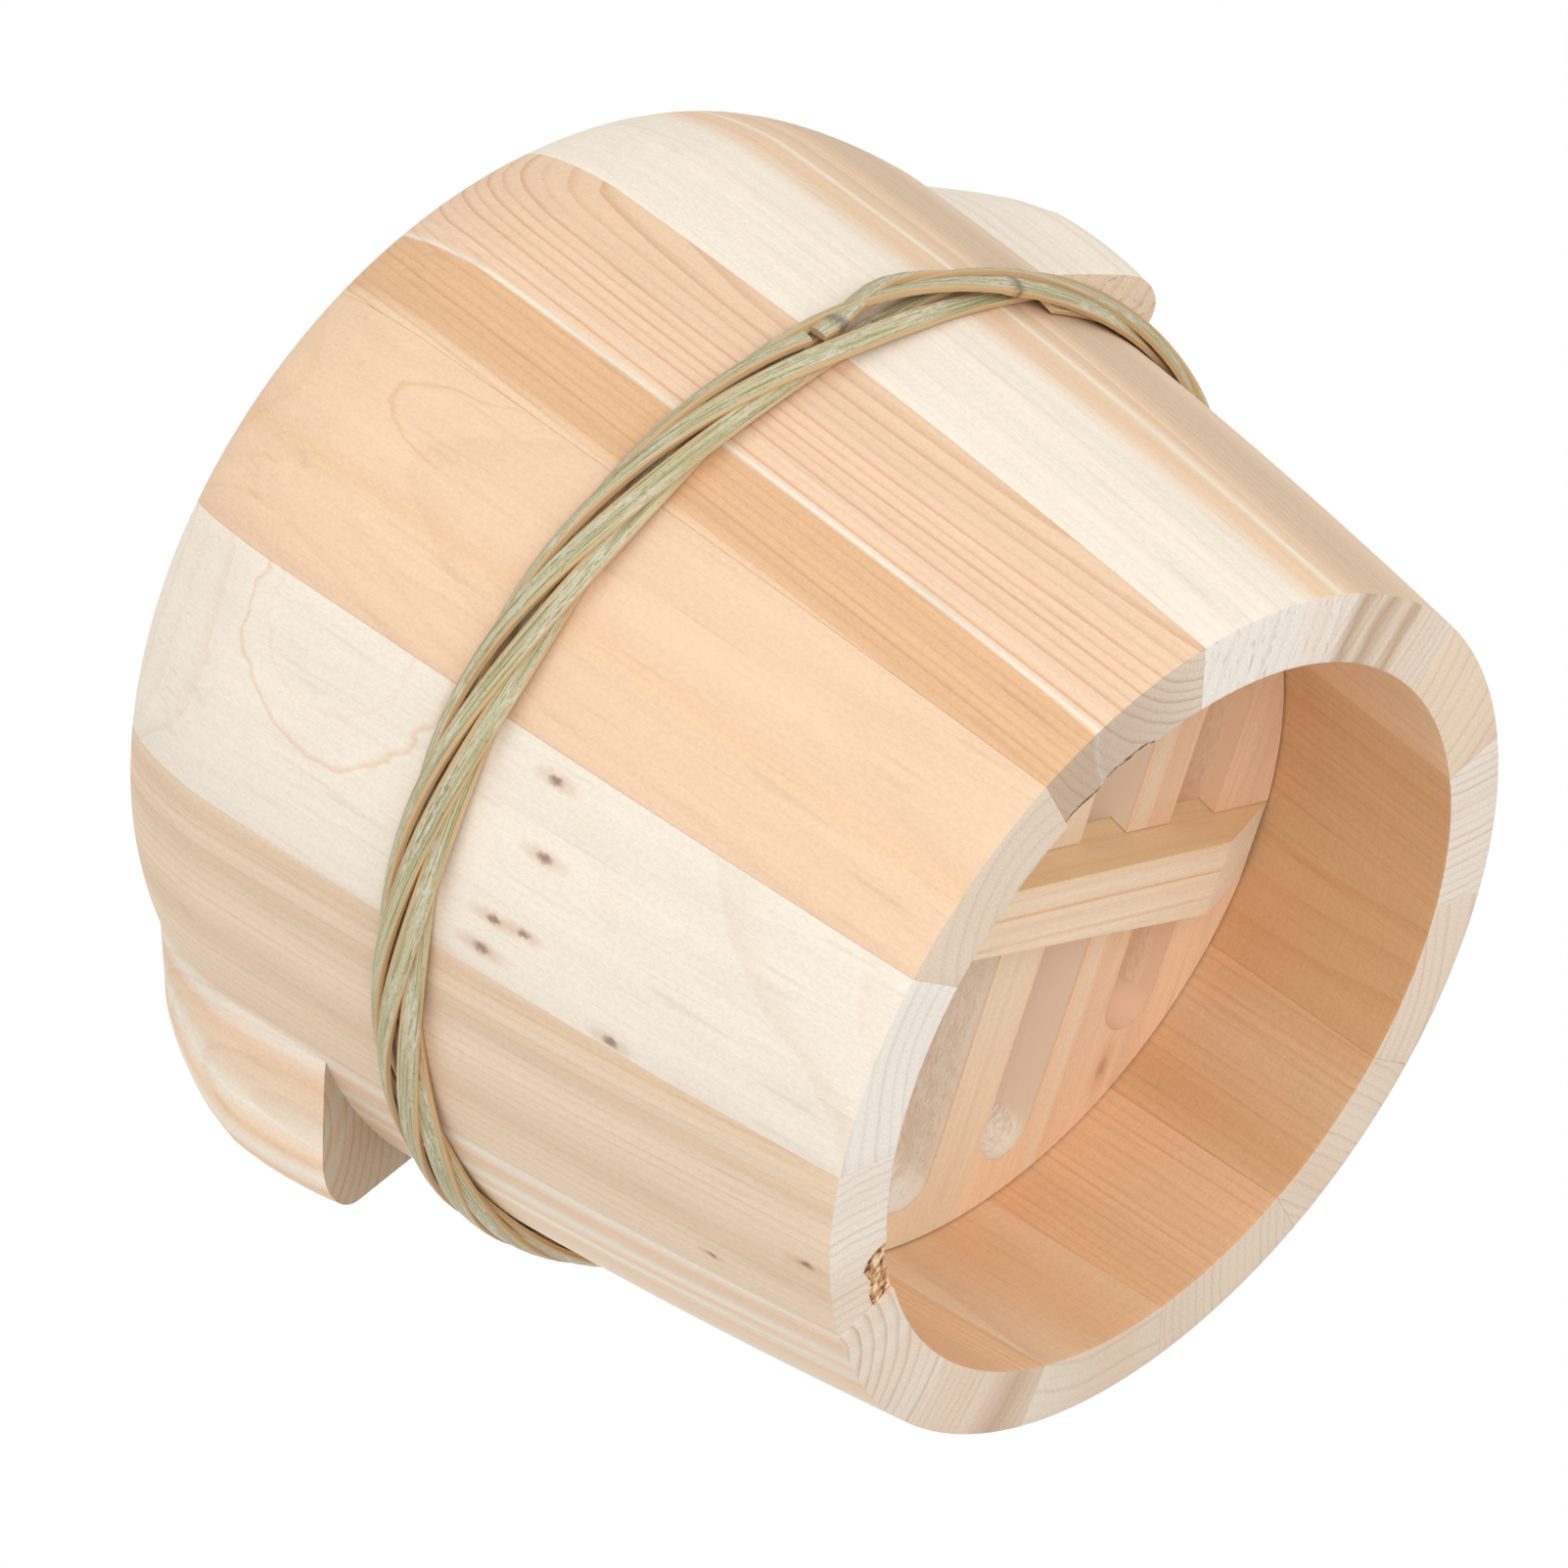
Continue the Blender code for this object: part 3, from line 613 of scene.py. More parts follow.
def stave_sweep():
    """One stave's share of the circle, less the open seam."""
    size = settings().barrel
    return 2 * math.pi / size.staves - size.seam / size.bottom_radius


def closed_loop(bm, points):
    """New verts at the points, and the edges that join them in a ring."""
    verts = [bm.verts.new(point) for point in points]
    return verts, [bm.edges.new(pair) for pair in zip(verts, verts[1:] + verts[:1])]


def bevel(bm, edges, width, clamp_overlap):
    bmesh.ops.bevel(
        bm, geom=edges, offset=width, offset_type="OFFSET", segments=2, profile=0.5, affect="EDGES",
        clamp_overlap=clamp_overlap, material=-1,
    )


def ease_edges(bm, width):
    """Breaks every sharp edge, as a few strokes of a scraper do."""
    joined = [edge for edge in bm.edges if len(edge.link_faces) == 2]
    bevel(bm, [edge for edge in joined if edge.calc_face_angle() > SHARP_EDGE], width, True)


def add_piece(name, bm, material, body, nodes):
    """Turns a bmesh into a finished piece that rides on its body and stands for its CAD nodes."""
    bmesh.ops.recalc_face_normals(bm, faces=bm.faces[:])
    mesh = bpy.data.meshes.new(name)
    bm.to_mesh(mesh)
    bm.free()
    mesh.shade_smooth()
    mesh.set_sharp_from_angle(angle=SMOOTH_LIMIT)
    mesh.materials.append(material)
    piece = bpy.data.objects.new(name, mesh)
    bpy.context.scene.collection.objects.link(piece)
    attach(piece, body)
    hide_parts(*nodes)


def plain_stave(turn, wane=None):
    """A stave of the barrel wall: its section spun through one stave's share of the circle."""
    size = settings().barrel
    wall = [size.shoulder_height * step / WALL_STEPS for step in range(WALL_STEPS)] + rim_heights(RIM_STEPS)
    bore = (size.height, size.height - size.mouth_chamfer, *reversed(CORNER_STEPS))
    outline = [(bore_radius(0) + inset, 0) for inset in (0, *CORNER_STEPS)]
    outline += [(outer_radius(height), height) for height in wall]
    outline += [(bore_radius(height), height) for height in bore]
    bm = bmesh.new()
    bm.faces.new([bm.verts.new((x, 0, z)) for x, z in outline])
    sweep = stave_sweep()
    bmesh.ops.rotate(bm, verts=bm.verts[:], matrix=Matrix.Rotation(turn - sweep / 2, 3, "Z"))
    everything = bm.verts[:] + bm.edges[:] + bm.faces[:]
    steps = WANE_SPIN_STEPS if wane else SPIN_STEPS
    bmesh.ops.spin(bm, geom=everything, axis=(0, 0, 1), angle=sweep, steps=steps, use_duplicate=False)
    bmesh.ops.recalc_face_normals(bm, faces=bm.faces[:])
    ease_edges(bm, size.edge_round)
    if wane:
        leave_wane(bm, turn, *wane)
    return bm


def leave_wane(bm, turn, middle, half, wide, tall):
    """Takes the bottom inner corner back to the round of the log, where bark was left on."""
    bark = bm.verts.layers.float.new("bark")
    for vert in bm.verts:
        spot = Matrix.Rotation(-turn, 3, "Z") @ vert.co
        inset = spot.xy.length - bore_radius(spot.z)
        if inset > 2 * wide or spot.z > 2 * tall:
            continue
        reach = max(0, 1 - ((spot.y - middle) / half) ** 2) ** 0.5
        reach *= 0.75 + 0.5 * noise.noise(Vector((spot.y * WANE_WAVES, 0, turn)))
        if reach < WANE_LEAST_REACH:
            continue
        share = max(inset, 0) / (wide * reach) + max(spot.z, 0) / (tall * reach)
        vert[bark] = clamp(1.5 - share)
        if share >= 1:
            continue
        if share > WANE_CORNER_SHARE:
            inset, height = inset / share, spot.z / share
        else:
            inset, height = wide * reach / 2, tall * reach / 2
        flat = spot.xy.normalized() * (bore_radius(height) + max(inset, 0))
        vert.co = Matrix.Rotation(turn, 3, "Z") @ Vector((flat.x, flat.y, height))


# Carved ears

FLANK_STEPS = 6
NOSE_STEPS = 16
EAR_BORE_STEPS = 12
EAR_LOW_STEPS = 18
EAR_RISE_STEPS = 12
EAR_RIM_STEPS = 14
SETTLING_ROUNDS = 16
MERGE_DISTANCE = 0.00002


def undercut_height(radius):
    """Height of the slanted saw cut at a reach from the axis."""
    size = settings().ears
    return size.foot_height - math.tan(size.undercut) * (radius - wall_radius(size.foot_height))


def ear_ridge(height):
    """Reach of the ear's middle line at a height."""
    size = settings().ears
    barrel = settings().barrel
    crest = size.foot_height + size.crest_rise
    if height > crest:
        rise = (height - crest) / (barrel.height - crest)
        at_crest = size.crest_radius - outer_radius(crest)
        at_rim = size.rim_radius - barrel.rim_radius
        return outer_radius(height) + at_crest + (at_rim - at_crest) * rise
    drop = (crest - height) / (crest - undercut_height(size.tip_radius))
    return size.crest_radius - (size.crest_radius - size.tip_radius) * drop**2


def ear_outline(height):
    """The ear's level section: a strip of wall, a straight flank, the round nose, and back."""
    size = settings().ears
    half = stave_sweep() / 2
    edge = outer_radius(height)
    corner = half - size.side_margin / edge
    foot = Vector((edge * math.cos(corner), edge * math.sin(corner)))
    centre = Vector((ear_ridge(height) - size.nose_radius, 0))
    away = foot - centre
    spread = math.atan2(away.y, away.x) - math.acos(size.nose_radius / away.length)
    turns = [spread * (1 - 2 * step / NOSE_STEPS) for step in range(NOSE_STEPS + 1)]
    nose = [centre + size.nose_radius * Vector((math.cos(turn), math.sin(turn))) for turn in turns]
    side = [Vector((edge * math.cos(half), edge * math.sin(half)))]
    side += [foot.lerp(nose[0], step / FLANK_STEPS) for step in range(FLANK_STEPS)]
    return side + nose + [Vector((spot.x, -spot.y)) for spot in reversed(side)]


def ear_base_height(column):
    """Height of the saw cut's outer edge, where the slant meets one upright line of the ear."""
    height = settings().ears.foot_height
    for _ in range(SETTLING_ROUNDS):
        height = undercut_height(ear_outline(height)[column].length)
    return height


def bore_arc(height):
    """One stave's share of the bore, from edge to edge."""
    half = stave_sweep() / 2
    radius = bore_radius(height)
    turns = [-half + 2 * half * step / EAR_BORE_STEPS for step in range(EAR_BORE_STEPS + 1)]
    return [(radius * math.cos(turn), radius * math.sin(turn), height) for turn in turns]


def ear_stave(turn):
    """The carved stave, lofted ring by ring: plain below the saw cut, swelling into the ear above it."""
    size = settings().barrel
    foot = settings().ears.foot_height
    start = ear_outline(foot)
    bases = [ear_base_height(column) for column in range(len(start))]
    bm = bmesh.new()
    rings = []
    for step in range(EAR_LOW_STEPS + 1):
        height = foot * step / EAR_LOW_STEPS
        radius = wall_radius(height)
        outside = [(*(spot.normalized() * radius), height) for spot in start]
        rings.append(closed_loop(bm, bore_arc(height) + outside)[1])
    shoulder = (size.shoulder_height - foot) / (size.height - foot)
    rises = [shoulder * step / EAR_RISE_STEPS for step in range(EAR_RISE_STEPS)]
    rises += [(height - foot) / (size.height - foot) for height in rim_heights(EAR_RIM_STEPS)]
    for rise in rises:
        outside = []
        for column, base in enumerate(bases):
            height = base + (size.height - base) * rise
            outside.append((*ear_outline(height)[column], height))
        rings.append(closed_loop(bm, bore_arc(foot + (size.height - foot) * rise) + outside)[1])
    for low, high in zip(rings, rings[1:]):
        bmesh.ops.bridge_loops(bm, edges=low + high)
    bmesh.ops.holes_fill(bm, edges=rings[0] + rings[-1])
    bmesh.ops.remove_doubles(bm, verts=bm.verts[:], dist=MERGE_DISTANCE)
    bmesh.ops.rotate(bm, verts=bm.verts[:], matrix=Matrix.Rotation(turn, 3, "Z"))
    bmesh.ops.recalc_face_normals(bm, faces=bm.faces[:])
    ease_edges(bm, size.edge_round)
    return bm


# How each stave was cut from its board, by its place round the barrel, in metres along and across the grain
# bands, end: tones across its faces and its sawn ends; pith: the log's heart, outward and across
# loops: across, height, half width, half height, strength, lowest height; knots: across, height, size
# flecks: waves outward and across, strength, lowest height; wane: middle, half length, width, height
# ear_shade_heights: heights between which a sawn face under an ear is darkened with painted shade
QUARTER = {"pith": (0.105, -0.11), "spacing": 0.0026, "contrast": 0.32, "inside": 0.55}
FLAT = {
    "pith": (0.045, 0.004), "spacing": 0.0034, "contrast": 0.3, "wander": 0.02, "taper": 0.03,
    "inside": 0.55,
}
WHITE_END = ((0, "end_white"), (1, "end_white"))
TAN_END = ((0, "end_tan"), (1, "end_tan"))
STAVE_CUTS = {
    0: {
        **QUARTER, "pith": (0.07, -0.05), "contrast": 0.2, "spacing": 0.0045, "inside": 0.7,
        "end": ((0, "dun"), (1, "dun")), "flecks": ((620, 620, 0.9, 0.1),),
        "bands": ((0, "cream"), (0.05, "cream"), (0.8, "cream"), (1, "tan")),
    },
    1: {
        **QUARTER, "end": WHITE_END, "end_contrast": 0.4, "heart": "heart_dark", "inside": 0.75,
        "bands": ((0, "peach"), (0.3, "dun"), (0.36, "brown"), (0.42, "pink"), (1, "peach")),
    },
    2: {
        **FLAT, "pith": (0.04, 0.01), "end": TAN_END, "heart": "heart_dark", "inside": 0.85,
        "bands": ((0, "tan"), (0.6, "peach"), (1, "pink")),
    },
    3: {
        **QUARTER, "pith": (0.11, 0.13), "end": TAN_END, "heart": "heart_dark",
        "bands": ((0, "brown"), (0.4, "tan"), (0.7, "brown"), (1, "peach")),
    },
    4: {**QUARTER, "bands": ((0, "pink"), (0.5, "peach"), (1, "brown"))},
    5: {
        **FLAT, "pith": (0.03, -0.01), "heart": "heart_pale", "inside": 0.5, "contrast": 0.2,
        "bands": ((0, "tan"), (0.3, "brown"), (0.45, "brown"), (0.7, "tan"), (1, "cream")),
    },
    6: {
        **QUARTER, "pith": (0.10, 0.10), "heart": "heart_pale", "inside": 0.85, "contrast": 0.25,
        "end": ((0, "end_tan"), (0.3, "end_brown"), (0.5, "end_tan"), (1, "end_tan")),
        "bands": ((0, "peach"), (0.35, "tan"), (0.6, "brown"), (1, "peach")),
    },
    7: {
        **QUARTER, "pith": (0.118, 0.020), "spacing": 0.0034, "contrast": 0.14, "heart": "heart_pale",
        # Painted shade on the sawn faces under this ear, between these heights
        "end": TAN_END, "end_contrast": 0.6, "ear_shade_heights": (0.1, 0.18),
        "bands": (
            (0, "cream"), (0.35, "tan"), (0.52, "peach"), (0.6, "cream"), (0.66, "peach"), (0.74, "cream"),
            (0.8, "tan"), (0.87, "pink"), (0.93, "cream"), (1, "tan"),
        ),
    },
    8: {
        **QUARTER, "contrast": 0.22, "knots": ((-0.0035, 0.0058, 0.0010), (-0.0165, 0.030, 0.0007)),
        "end": ((0, "end_tan"), (0.3, "end_tan"), (0.5, "end_white"), (1, "end_white")),
        "end_contrast": 0.35,
        "bands": (
            (0, "tan"), (0.2, "tan"), (0.3, "dun"), (0.5, "tan"), (0.68, "tan"), (0.76, "dun"),
            (0.84, "tan"), (0.93, "dun"), (1, "tan"),
        ),
        "wane": (-0.0145, 0.0105, 0.0100, 0.0016),
    },
    9: {
        **FLAT, "contrast": 0.1, "end": WHITE_END, "bands": ((0, "cream"), (1, "cream")),
        "loops": ((0.0205, 0.1452, 0.0245, 0.0274, 0.42, -1), (0.0235, 0.147, 0.0185, 0.0195, 0.12, -1)),
        "knots": (
            (0.0204, 0.0863, 0.0011), (0.0053, 0.0820, 0.0012), (-0.0126, 0.0891, 0.0012),
            (-0.0117, 0.0813, 0.0010), (-0.0200, 0.0906, 0.0013), (-0.0228, 0.0561, 0.0011),
        ),
    },
    10: {
        **FLAT, "pith": (0.068, 0.006), "spacing": 0.0042, "contrast": 0.09, "wander": 0.008, "taper": 0.16,
        "straight": 0.095, "loops": ((0.0155, 0.127, 0.0105, 0.041, 0.6, 0.13),),
        "bands": (
            (0, "pink"), (0.1, "peach"), (0.2, "pink"), (0.3, "peach"), (0.42, "heart_pale"),
            (0.52, "pink"), (0.62, "peach"), (1, "peach"),
        ),
    },
    11: {
        **QUARTER, "pith": (0.118, 0.034), "contrast": 0.5, "spacing": 0.0022, "wander": 0.004,
        "end": ((0, "end_grey"), (0.38, "end_grey"), (1, "end")), "end_contrast": 0.5,
        "bands": (
            (0, "peach"), (0.05, "brown"), (0.2, "brown"), (0.318, "brown"), (0.334, "cream"),
            (0.352, "tan"), (0.368, "pink"), (0.41, "peach"), (0.425, "tan"), (0.44, "pink"),
            (0.7, "pink"), (1, "peach"),
        ),
        # Wider dark crust on this wane: real bark, and painted shadow in the wane beside it
        "wane": (-0.008, 0.014, 0.003, 0.0016), "bark": 0.6,
    },
    12: {
        **QUARTER, "contrast": 0.12, "spacing": 0.0042, "end": WHITE_END, "flecks": ((240, 700, 0.5, -1),),
        "bands": (
            (0, "cream"), (0.6, "cream"), (0.75, "peach"), (0.83, "peach"), (0.85, "straw"),
            (0.87, "cream"), (0.9, "peach"), (1, "dun"),
        ),
    },
    13: {
        **QUARTER, "contrast": 0.25, "end_contrast": 0.4,
        "end": (
            (0, "end_white"), (0.12, "end_white"), (0.2, "end_brown"), (0.3, "end_tan"),
            (0.36, "end_brown"), (0.48, "end_tan"), (0.56, "end_brown"), (0.62, "end_tan"), (1, "end_tan"),
        ),
        "bands": ((0, "peach"), (0.15, "drab"), (0.4, "drab"), (0.6, "dun"), (0.8, "tan"), (1, "cream")),
    },
}
# Girth of the barrel's middle against that of its bottom
MIDDLE_GIRTH = 1.12


def stave_material(name, place, turn):
    """A stave's own wood, its grain leaning with the wall and its bands spread over its middle width."""
    size = settings().barrel
    lean = (size.shoulder_radius - size.bottom_radius) / size.shoulder_height
    half_width = size.bottom_radius * MIDDLE_GIRTH * math.tan(math.pi / size.staves)
    return wood_material(name, (0, 0, -turn), STAVE_CUTS[place], (-half_width, half_width), lean)


class STEAMER_OT_staves(bpy.types.Operator):
    """Builds the plain staves, each with its own piece of wood"""

    bl_idname = "steamer.staves"
    bl_label = "Plain Staves"

    def execute(self, context):
        count = settings().barrel.staves
        opposite = count // 2
        for place in range(1, count):
            if place == opposite:
                continue
            node = f"stave_{place - place // opposite:02d}"
            turn = 2 * math.pi * place / count
            material = stave_material(f"{node}_wood", place, turn)
            stave = plain_stave(turn, STAVE_CUTS[place].get("wane"))
            add_piece(f"{node}_finished", stave, material, "barrel", [node])
        return {"FINISHED"}


class STEAMER_OT_ear_staves(bpy.types.Operator):
    """Builds the two staves with carved lifting ears"""

    bl_idname = "steamer.ear_staves"
    bl_label = "Ear Staves"

    def execute(self, context):
        count = settings().barrel.staves
        for node, place in (("ear_stave_right", 0), ("ear_stave_left", count // 2)):
            turn = 2 * math.pi * place / count
            material = stave_material(f"{node}_wood", place, turn)
            add_piece(f"{node}_finished", ear_stave(turn), material, "barrel", [node])
        return {"FINISHED"}


# Bamboo hoop

STRIP_MARKS = ("along", "across", "skin", "knuckle")
# Half of the strip's section, as shares of half its thickness and half its width
STRIP_SECTION = ((-0.8, -0.9), (0.35, -1), (0.62, -0.9), (0.9, -0.45))
# Where the strip's nodes come, in loops from its start
NODE_LOOPS = (0.006, 0.52, 1.03, 1.49, 2.02, 2.56, 3.08, 3.53, 4.07, 4.6)
NODE_REACH = 0.004
NODE_SWELL = 0.35
NODE_WIDENING = 0.12
WIDTH_WANDER = 0.12
TWIST_WANDER = 0.3
RISE_WANDER = 0.0003
LEAN_INTO_TWIST = 0.6
LOOSE_EASE = 1.25
WALL_CLEARANCE = 0.0002
WALL_FOLLOWED = 0.9
HOOP_STEPS = 150
HOOP_END_GAP = 0.02
LOOK_AHEAD = 0.002


def bamboo_material():
    """Split bamboo: streaked green-grey skin, tan cut edges, dark rings at the nodes."""
    material, tree, shader = new_material("split_bamboo")
    along, across, skin, knuckle = (attribute(tree, name) for name in STRIP_MARKS)
    spot = put(tree, "ShaderNodeCombineXYZ", {0: along, 1: across}).outputs[0]
    streak = noisy(tree, spot, (30, 2600, 1), 3, 0.6)
    patch = noisy(tree, spot, (45, 260, 1))
    speck = noisy(tree, spot, (900, 1600, 1))
    rub = noisy(tree, spot, (260, 1500, 1), 3, 0.7)
    shaved = noisy(tree, spot, (22, 300, 1))
    green = mixed(tree, ramped(tree, streak, 0.36, 0.6), tone("olive"), tone("skin"))
    worn = times(tree, ramped(tree, patch, 0.4, 0.62), ramped(tree, rub, 0.42, 0.62))
    green = tinted(tree, worn, green, "bloom")
    green = shaded(tree, ramped(tree, speck, 0.28, 0.48, 0.78, 1.03), green)
    flesh = mixed(tree, ramped(tree, streak, 0.3, 0.6, 0.3, 0), tone("flesh"), tone("line"))
    skin = calc(tree, "MULTIPLY_ADD", shaved, 1.3, calc(tree, "SUBTRACT", skin, 0.6))
    surface = mixed(tree, ramped(tree, skin, 0.4, 0.65), flesh, green)
    dark = ramped(tree, calc(tree, "MULTIPLY_ADD", speck, 0.6, knuckle), 0.75, 1.2)
    surface = tinted(tree, times(tree, dark, 0.75), surface, "node")
    roughness = ramped(tree, streak, 0.2, 0.8, 0.45, 0.62)
    relief = calc(tree, "MULTIPLY_ADD", speck, calc(tree, "MULTIPLY_ADD", knuckle, 2, 0.3), streak)
    paint(tree, shader, surface, roughness, relief, 0.55, 0.0004)
    return material


def hoop_point(way):
    """Middle of the strip, and how far it has twisted, at an angle along its whole way round."""
    size = settings().hoop
    twist = (size.twists + 1 / size.loops) * way + TWIST_WANDER * noise.noise(Vector((way * 1.7, 0, 3.1)))
    out = size.swing * math.cos(twist)
    rise = -size.spread * math.sin(twist) + RISE_WANDER * noise.noise(Vector((way * 1.3, 5.2, 0)))
    share = way / size.loose
    if share < LOOSE_EASE:
        ease = min(1, share / LOOSE_EASE)
        ease = ease * ease * (3 - 2 * ease)
        bow = size.bow * math.sin(math.pi * min(1, share)) ** 2
        out = size.swing * (1 - ease)
        rise = size.spread * ease + bow
        twist = -math.pi / 2 * ease
    turn = size.start + way
    creep = size.lift + size.tilt * math.cos(turn - size.high_side)
    height = size.middle + creep + rise
    wall = wall_radius(size.middle)
    radius = wall + WALL_CLEARANCE + size.strip_thickness / 2 + size.swing + out
    radius += (wall_radius(height) - wall) * WALL_FOLLOWED
    return Vector((radius * math.cos(turn), radius * math.sin(turn), height)), twist


def hoop_frame(way):
    """The strip's own frame: X out of its skin, Y along it, Z across it."""
    here, twist = hoop_point(way)
    ahead, _ = hoop_point(way + LOOK_AHEAD)
    forward = (ahead - here).normalized()
    out = Vector((here.x, here.y, 0)).normalized()
    out = Quaternion(forward, LEAN_INTO_TWIST * math.sin(twist)) @ out
    across = out.cross(forward).normalized()
    out = forward.cross(across)
    place = Matrix((out, forward, across)).transposed().to_4x4()
    place.translation = here
    return place


def bamboo_hoop():
    """One strip of split bamboo, grown along its way round by extruding its section."""
    size = settings().hoop
    half = size.strip_width / 2
    deep = size.strip_thickness / 2
    section = [(deep * x, half * z) for x, z in STRIP_SECTION]
    section += [(deep, 0)] + [(x, -z) for x, z in reversed(section)]
    steps = HOOP_STEPS * size.loops
    last = size.loops * 2 * math.pi - HOOP_END_GAP
    bm = bmesh.new()
    marks = {name: bm.verts.layers.float.new(name) for name in STRIP_MARKS}
    before = hoop_frame(0)
    ring = [bm.verts.new(before @ Vector((x, 0, z))) for x, z in section]
    for vert, (x, z) in zip(ring, section):
        vert[marks["across"]] = z
        vert[marks["skin"]] = 1.45 - 1.2 * abs(z) / half if x > deep * 0.5 else 0
    edges = list(bm.faces.new(ring).edges)
    radius = before.translation.xy.length
    for step in range(1, steps + 1):
        way = last * step / steps
        grown = bmesh.ops.extrude_edge_only(bm, edges=edges)["geom"]
        ring = [item for item in grown if isinstance(item, bmesh.types.BMVert)]
        fresh = set(ring)
        edges = [item for item in grown if isinstance(item, bmesh.types.BMEdge)]
        edges = [edge for edge in edges if fresh.issuperset(edge.verts)]
        to_node = min(abs(way - 2 * math.pi * loops) for loops in NODE_LOOPS) * radius
        knuckle = max(0, 1 - to_node / NODE_REACH)
        width = 1 + WIDTH_WANDER * noise.noise(Vector((way * 2.3, 9.1, 0))) + NODE_WIDENING * knuckle
        now = hoop_frame(way) @ Matrix.Diagonal((1 + NODE_SWELL * knuckle, 1, width, 1))
        bmesh.ops.transform(bm, matrix=now @ before.inverted(), verts=ring)
        for vert in ring:
            vert[marks["along"]] = radius * way
            vert[marks["knuckle"]] = knuckle
        before = now
    bmesh.ops.holes_fill(bm, edges=edges)
    return bm


class STEAMER_OT_hoop(bpy.types.Operator):
    """Winds the bamboo hoop round the barrel"""

    bl_idname = "steamer.hoop"
    bl_label = "Bamboo Hoop"

    def execute(self, context):
        hoop = bamboo_hoop()
        add_piece("bamboo_hoop_wound", hoop, bamboo_material(), "barrel", ["bamboo_hoop"])
        return {"FINISHED"}


# Grate

END_STEPS = 24
SLOT_END_STEPS = 20
SLOT_STEP = 0.0012
SLOT_LEVELS = 10
SAME_LINE = 1e-6
BATTEN_EASE = 0.0005
HOUSING_STRETCH = 1.2
ALONG_X = Matrix(((0, 0, -1), (0, 1, 0), (1, 0, 0)))
ALONG_Y = Matrix(((0, 0, 1), (1, 0, 0), (0, 1, 0)))

# How each board was cut; torn: from where to where up the slot's walls fibres tore, and whether at its ends
BOARD_CUTS = (
    {
        "pith": (-0.10, 0.06), "spacing": 0.0026, "contrast": 0.2, "torn": (0.3, 0.85, 1),
        "bands": ((0, "board"), (1, "pink")),
    },
    {
        "pith": (-0.02, 0.05), "spacing": 0.003, "contrast": 0.2, "torn": (0.3, 0.85, 1),
        "bands": ((0, "board"), (0.5, "board_pale"), (1, "board")),
    },
    {
        "pith": (-0.09, -0.06), "spacing": 0.0022, "contrast": 0.1, "torn": (0.05, 0.97, 1),
        # Near-white walls in this slot: pale torn wood, and painted light where the slot lies deep in shade
        "slot": "fibre",
        "bands": ((0, "board"), (0.3, "board_pale"), (1, "board_pale")),
    },
    {
        "pith": (0.02, 0.09), "spacing": 0.0026, "contrast": 0.09, "torn": (0.9, 0.99, 1),
        "slot": "cream",
        "bands": (
            (0, "board_pale"), (0.16, "board_pale"), (0.3, "board"), (0.84, "board"), (0.9, "board_pale"),
            (0.95, "board_pale"), (0.99, "board"), (1, "board"),
        ),
    },
    {
        "pith": (-0.02, -0.02), "spacing": 0.004, "contrast": 0.1, "torn": (0.3, 0.72, 0),
        "slot": "board", "fibre": "board_pale",
        "knots": ((0.0600, -0.055, 0.0018),), "knot_depth": 0.32,
        "bands": ((0, "pink"), (0.3, "board"), (0.7, "pink"), (1, "board")),
    },
)
BATTEN_CUT = {
    # slope: cream on the end slopes, paler cut wood lightened as painted light where they turn from the
    # lamps
    "pith": (0.02, 0.05), "spacing": 0.0024, "contrast": 0.12, "slope": "cream",
    "bands": (
        (0, "straw"), (0.06, "straw"), (0.12, "board_pale"), (0.3, "board_pale"), (0.34, "dun"),
        (0.38, "board_pale"), (0.56, "tan"), (0.64, "board_pale"), (0.67, "brown"), (0.7, "tan"),
        (0.8, "board_pale"), (0.93, "tan"), (0.98, "straw"), (1, "straw"),
    ),
}
PIN_CUT = {"pith": (0.09, 0.02), "spacing": 0.0012, "contrast": 0.4, "bands": ((0, "tan"), (1, "tan"))}
PIN_SPAN = (-0.1, 0.1)


def grate_radius(height):
    """Round edge of the grate at a height above its underside, just clear of the bore."""
    size = settings().grate
    return bore_radius(size.underside + height) - size.fit


def board_edges(index):
    """The two sides of a board, from the grate's middle line; the outer boards run to the round edge."""
    size = settings().grate
    low = (index - size.boards / 2) * size.board_width + size.joint / 2
    high = low + size.board_width - size.joint
    return low, high


def board_outline(index, height):
    """A board's outline at a height: round ends that follow the bore, and straight joints."""
    last_board = settings().grate.boards - 1
    low, high = board_edges(index)
    edge = grate_radius(0)
    radius = grate_radius(height)
    first = -math.pi / 2 if index == 0 else math.asin(low / edge)
    last = math.pi / 2 if index == last_board else math.asin(high / edge)
    turns = [first + (last - first) * step / END_STEPS for step in range(END_STEPS + 1)]
    turns += [math.pi - turn for turn in reversed(turns)]
    if index == 0:
        turns.pop()
    if index == last_board:
        turns.pop(END_STEPS + 1)
    points = []
    for turn in turns:
        x, y = math.cos(turn), math.sin(turn)
        on_joint = min(abs(y * edge - low), abs(y * edge - high)) < SAME_LINE
        points.append((x * radius, y * edge if on_joint else y * radius, height))
    return points


def slot_outline(index):
    """A slot's wall, step by step: place along the slot, to its side, and out past a round end's centre."""
    size = settings().grate
    middle = sum(board_edges(index)) / 2
    half = size.slot_width / 2
    reach = math.sqrt((grate_radius(0) - size.slot_margin - half) ** 2 - middle**2)
    straight_steps = int(2 * reach / SLOT_STEP)
    spots = []
    for side in (1, -1):
        for step in range(SLOT_END_STEPS + 1):
            turn = math.pi * step / SLOT_END_STEPS
            spots.append((side * reach, -half * math.cos(turn) * side, math.sin(turn) * half * side))
        for step in range(1, straight_steps):
            spots.append((side * (reach - 2 * reach * step / straight_steps), half * side, 0))
    return spots


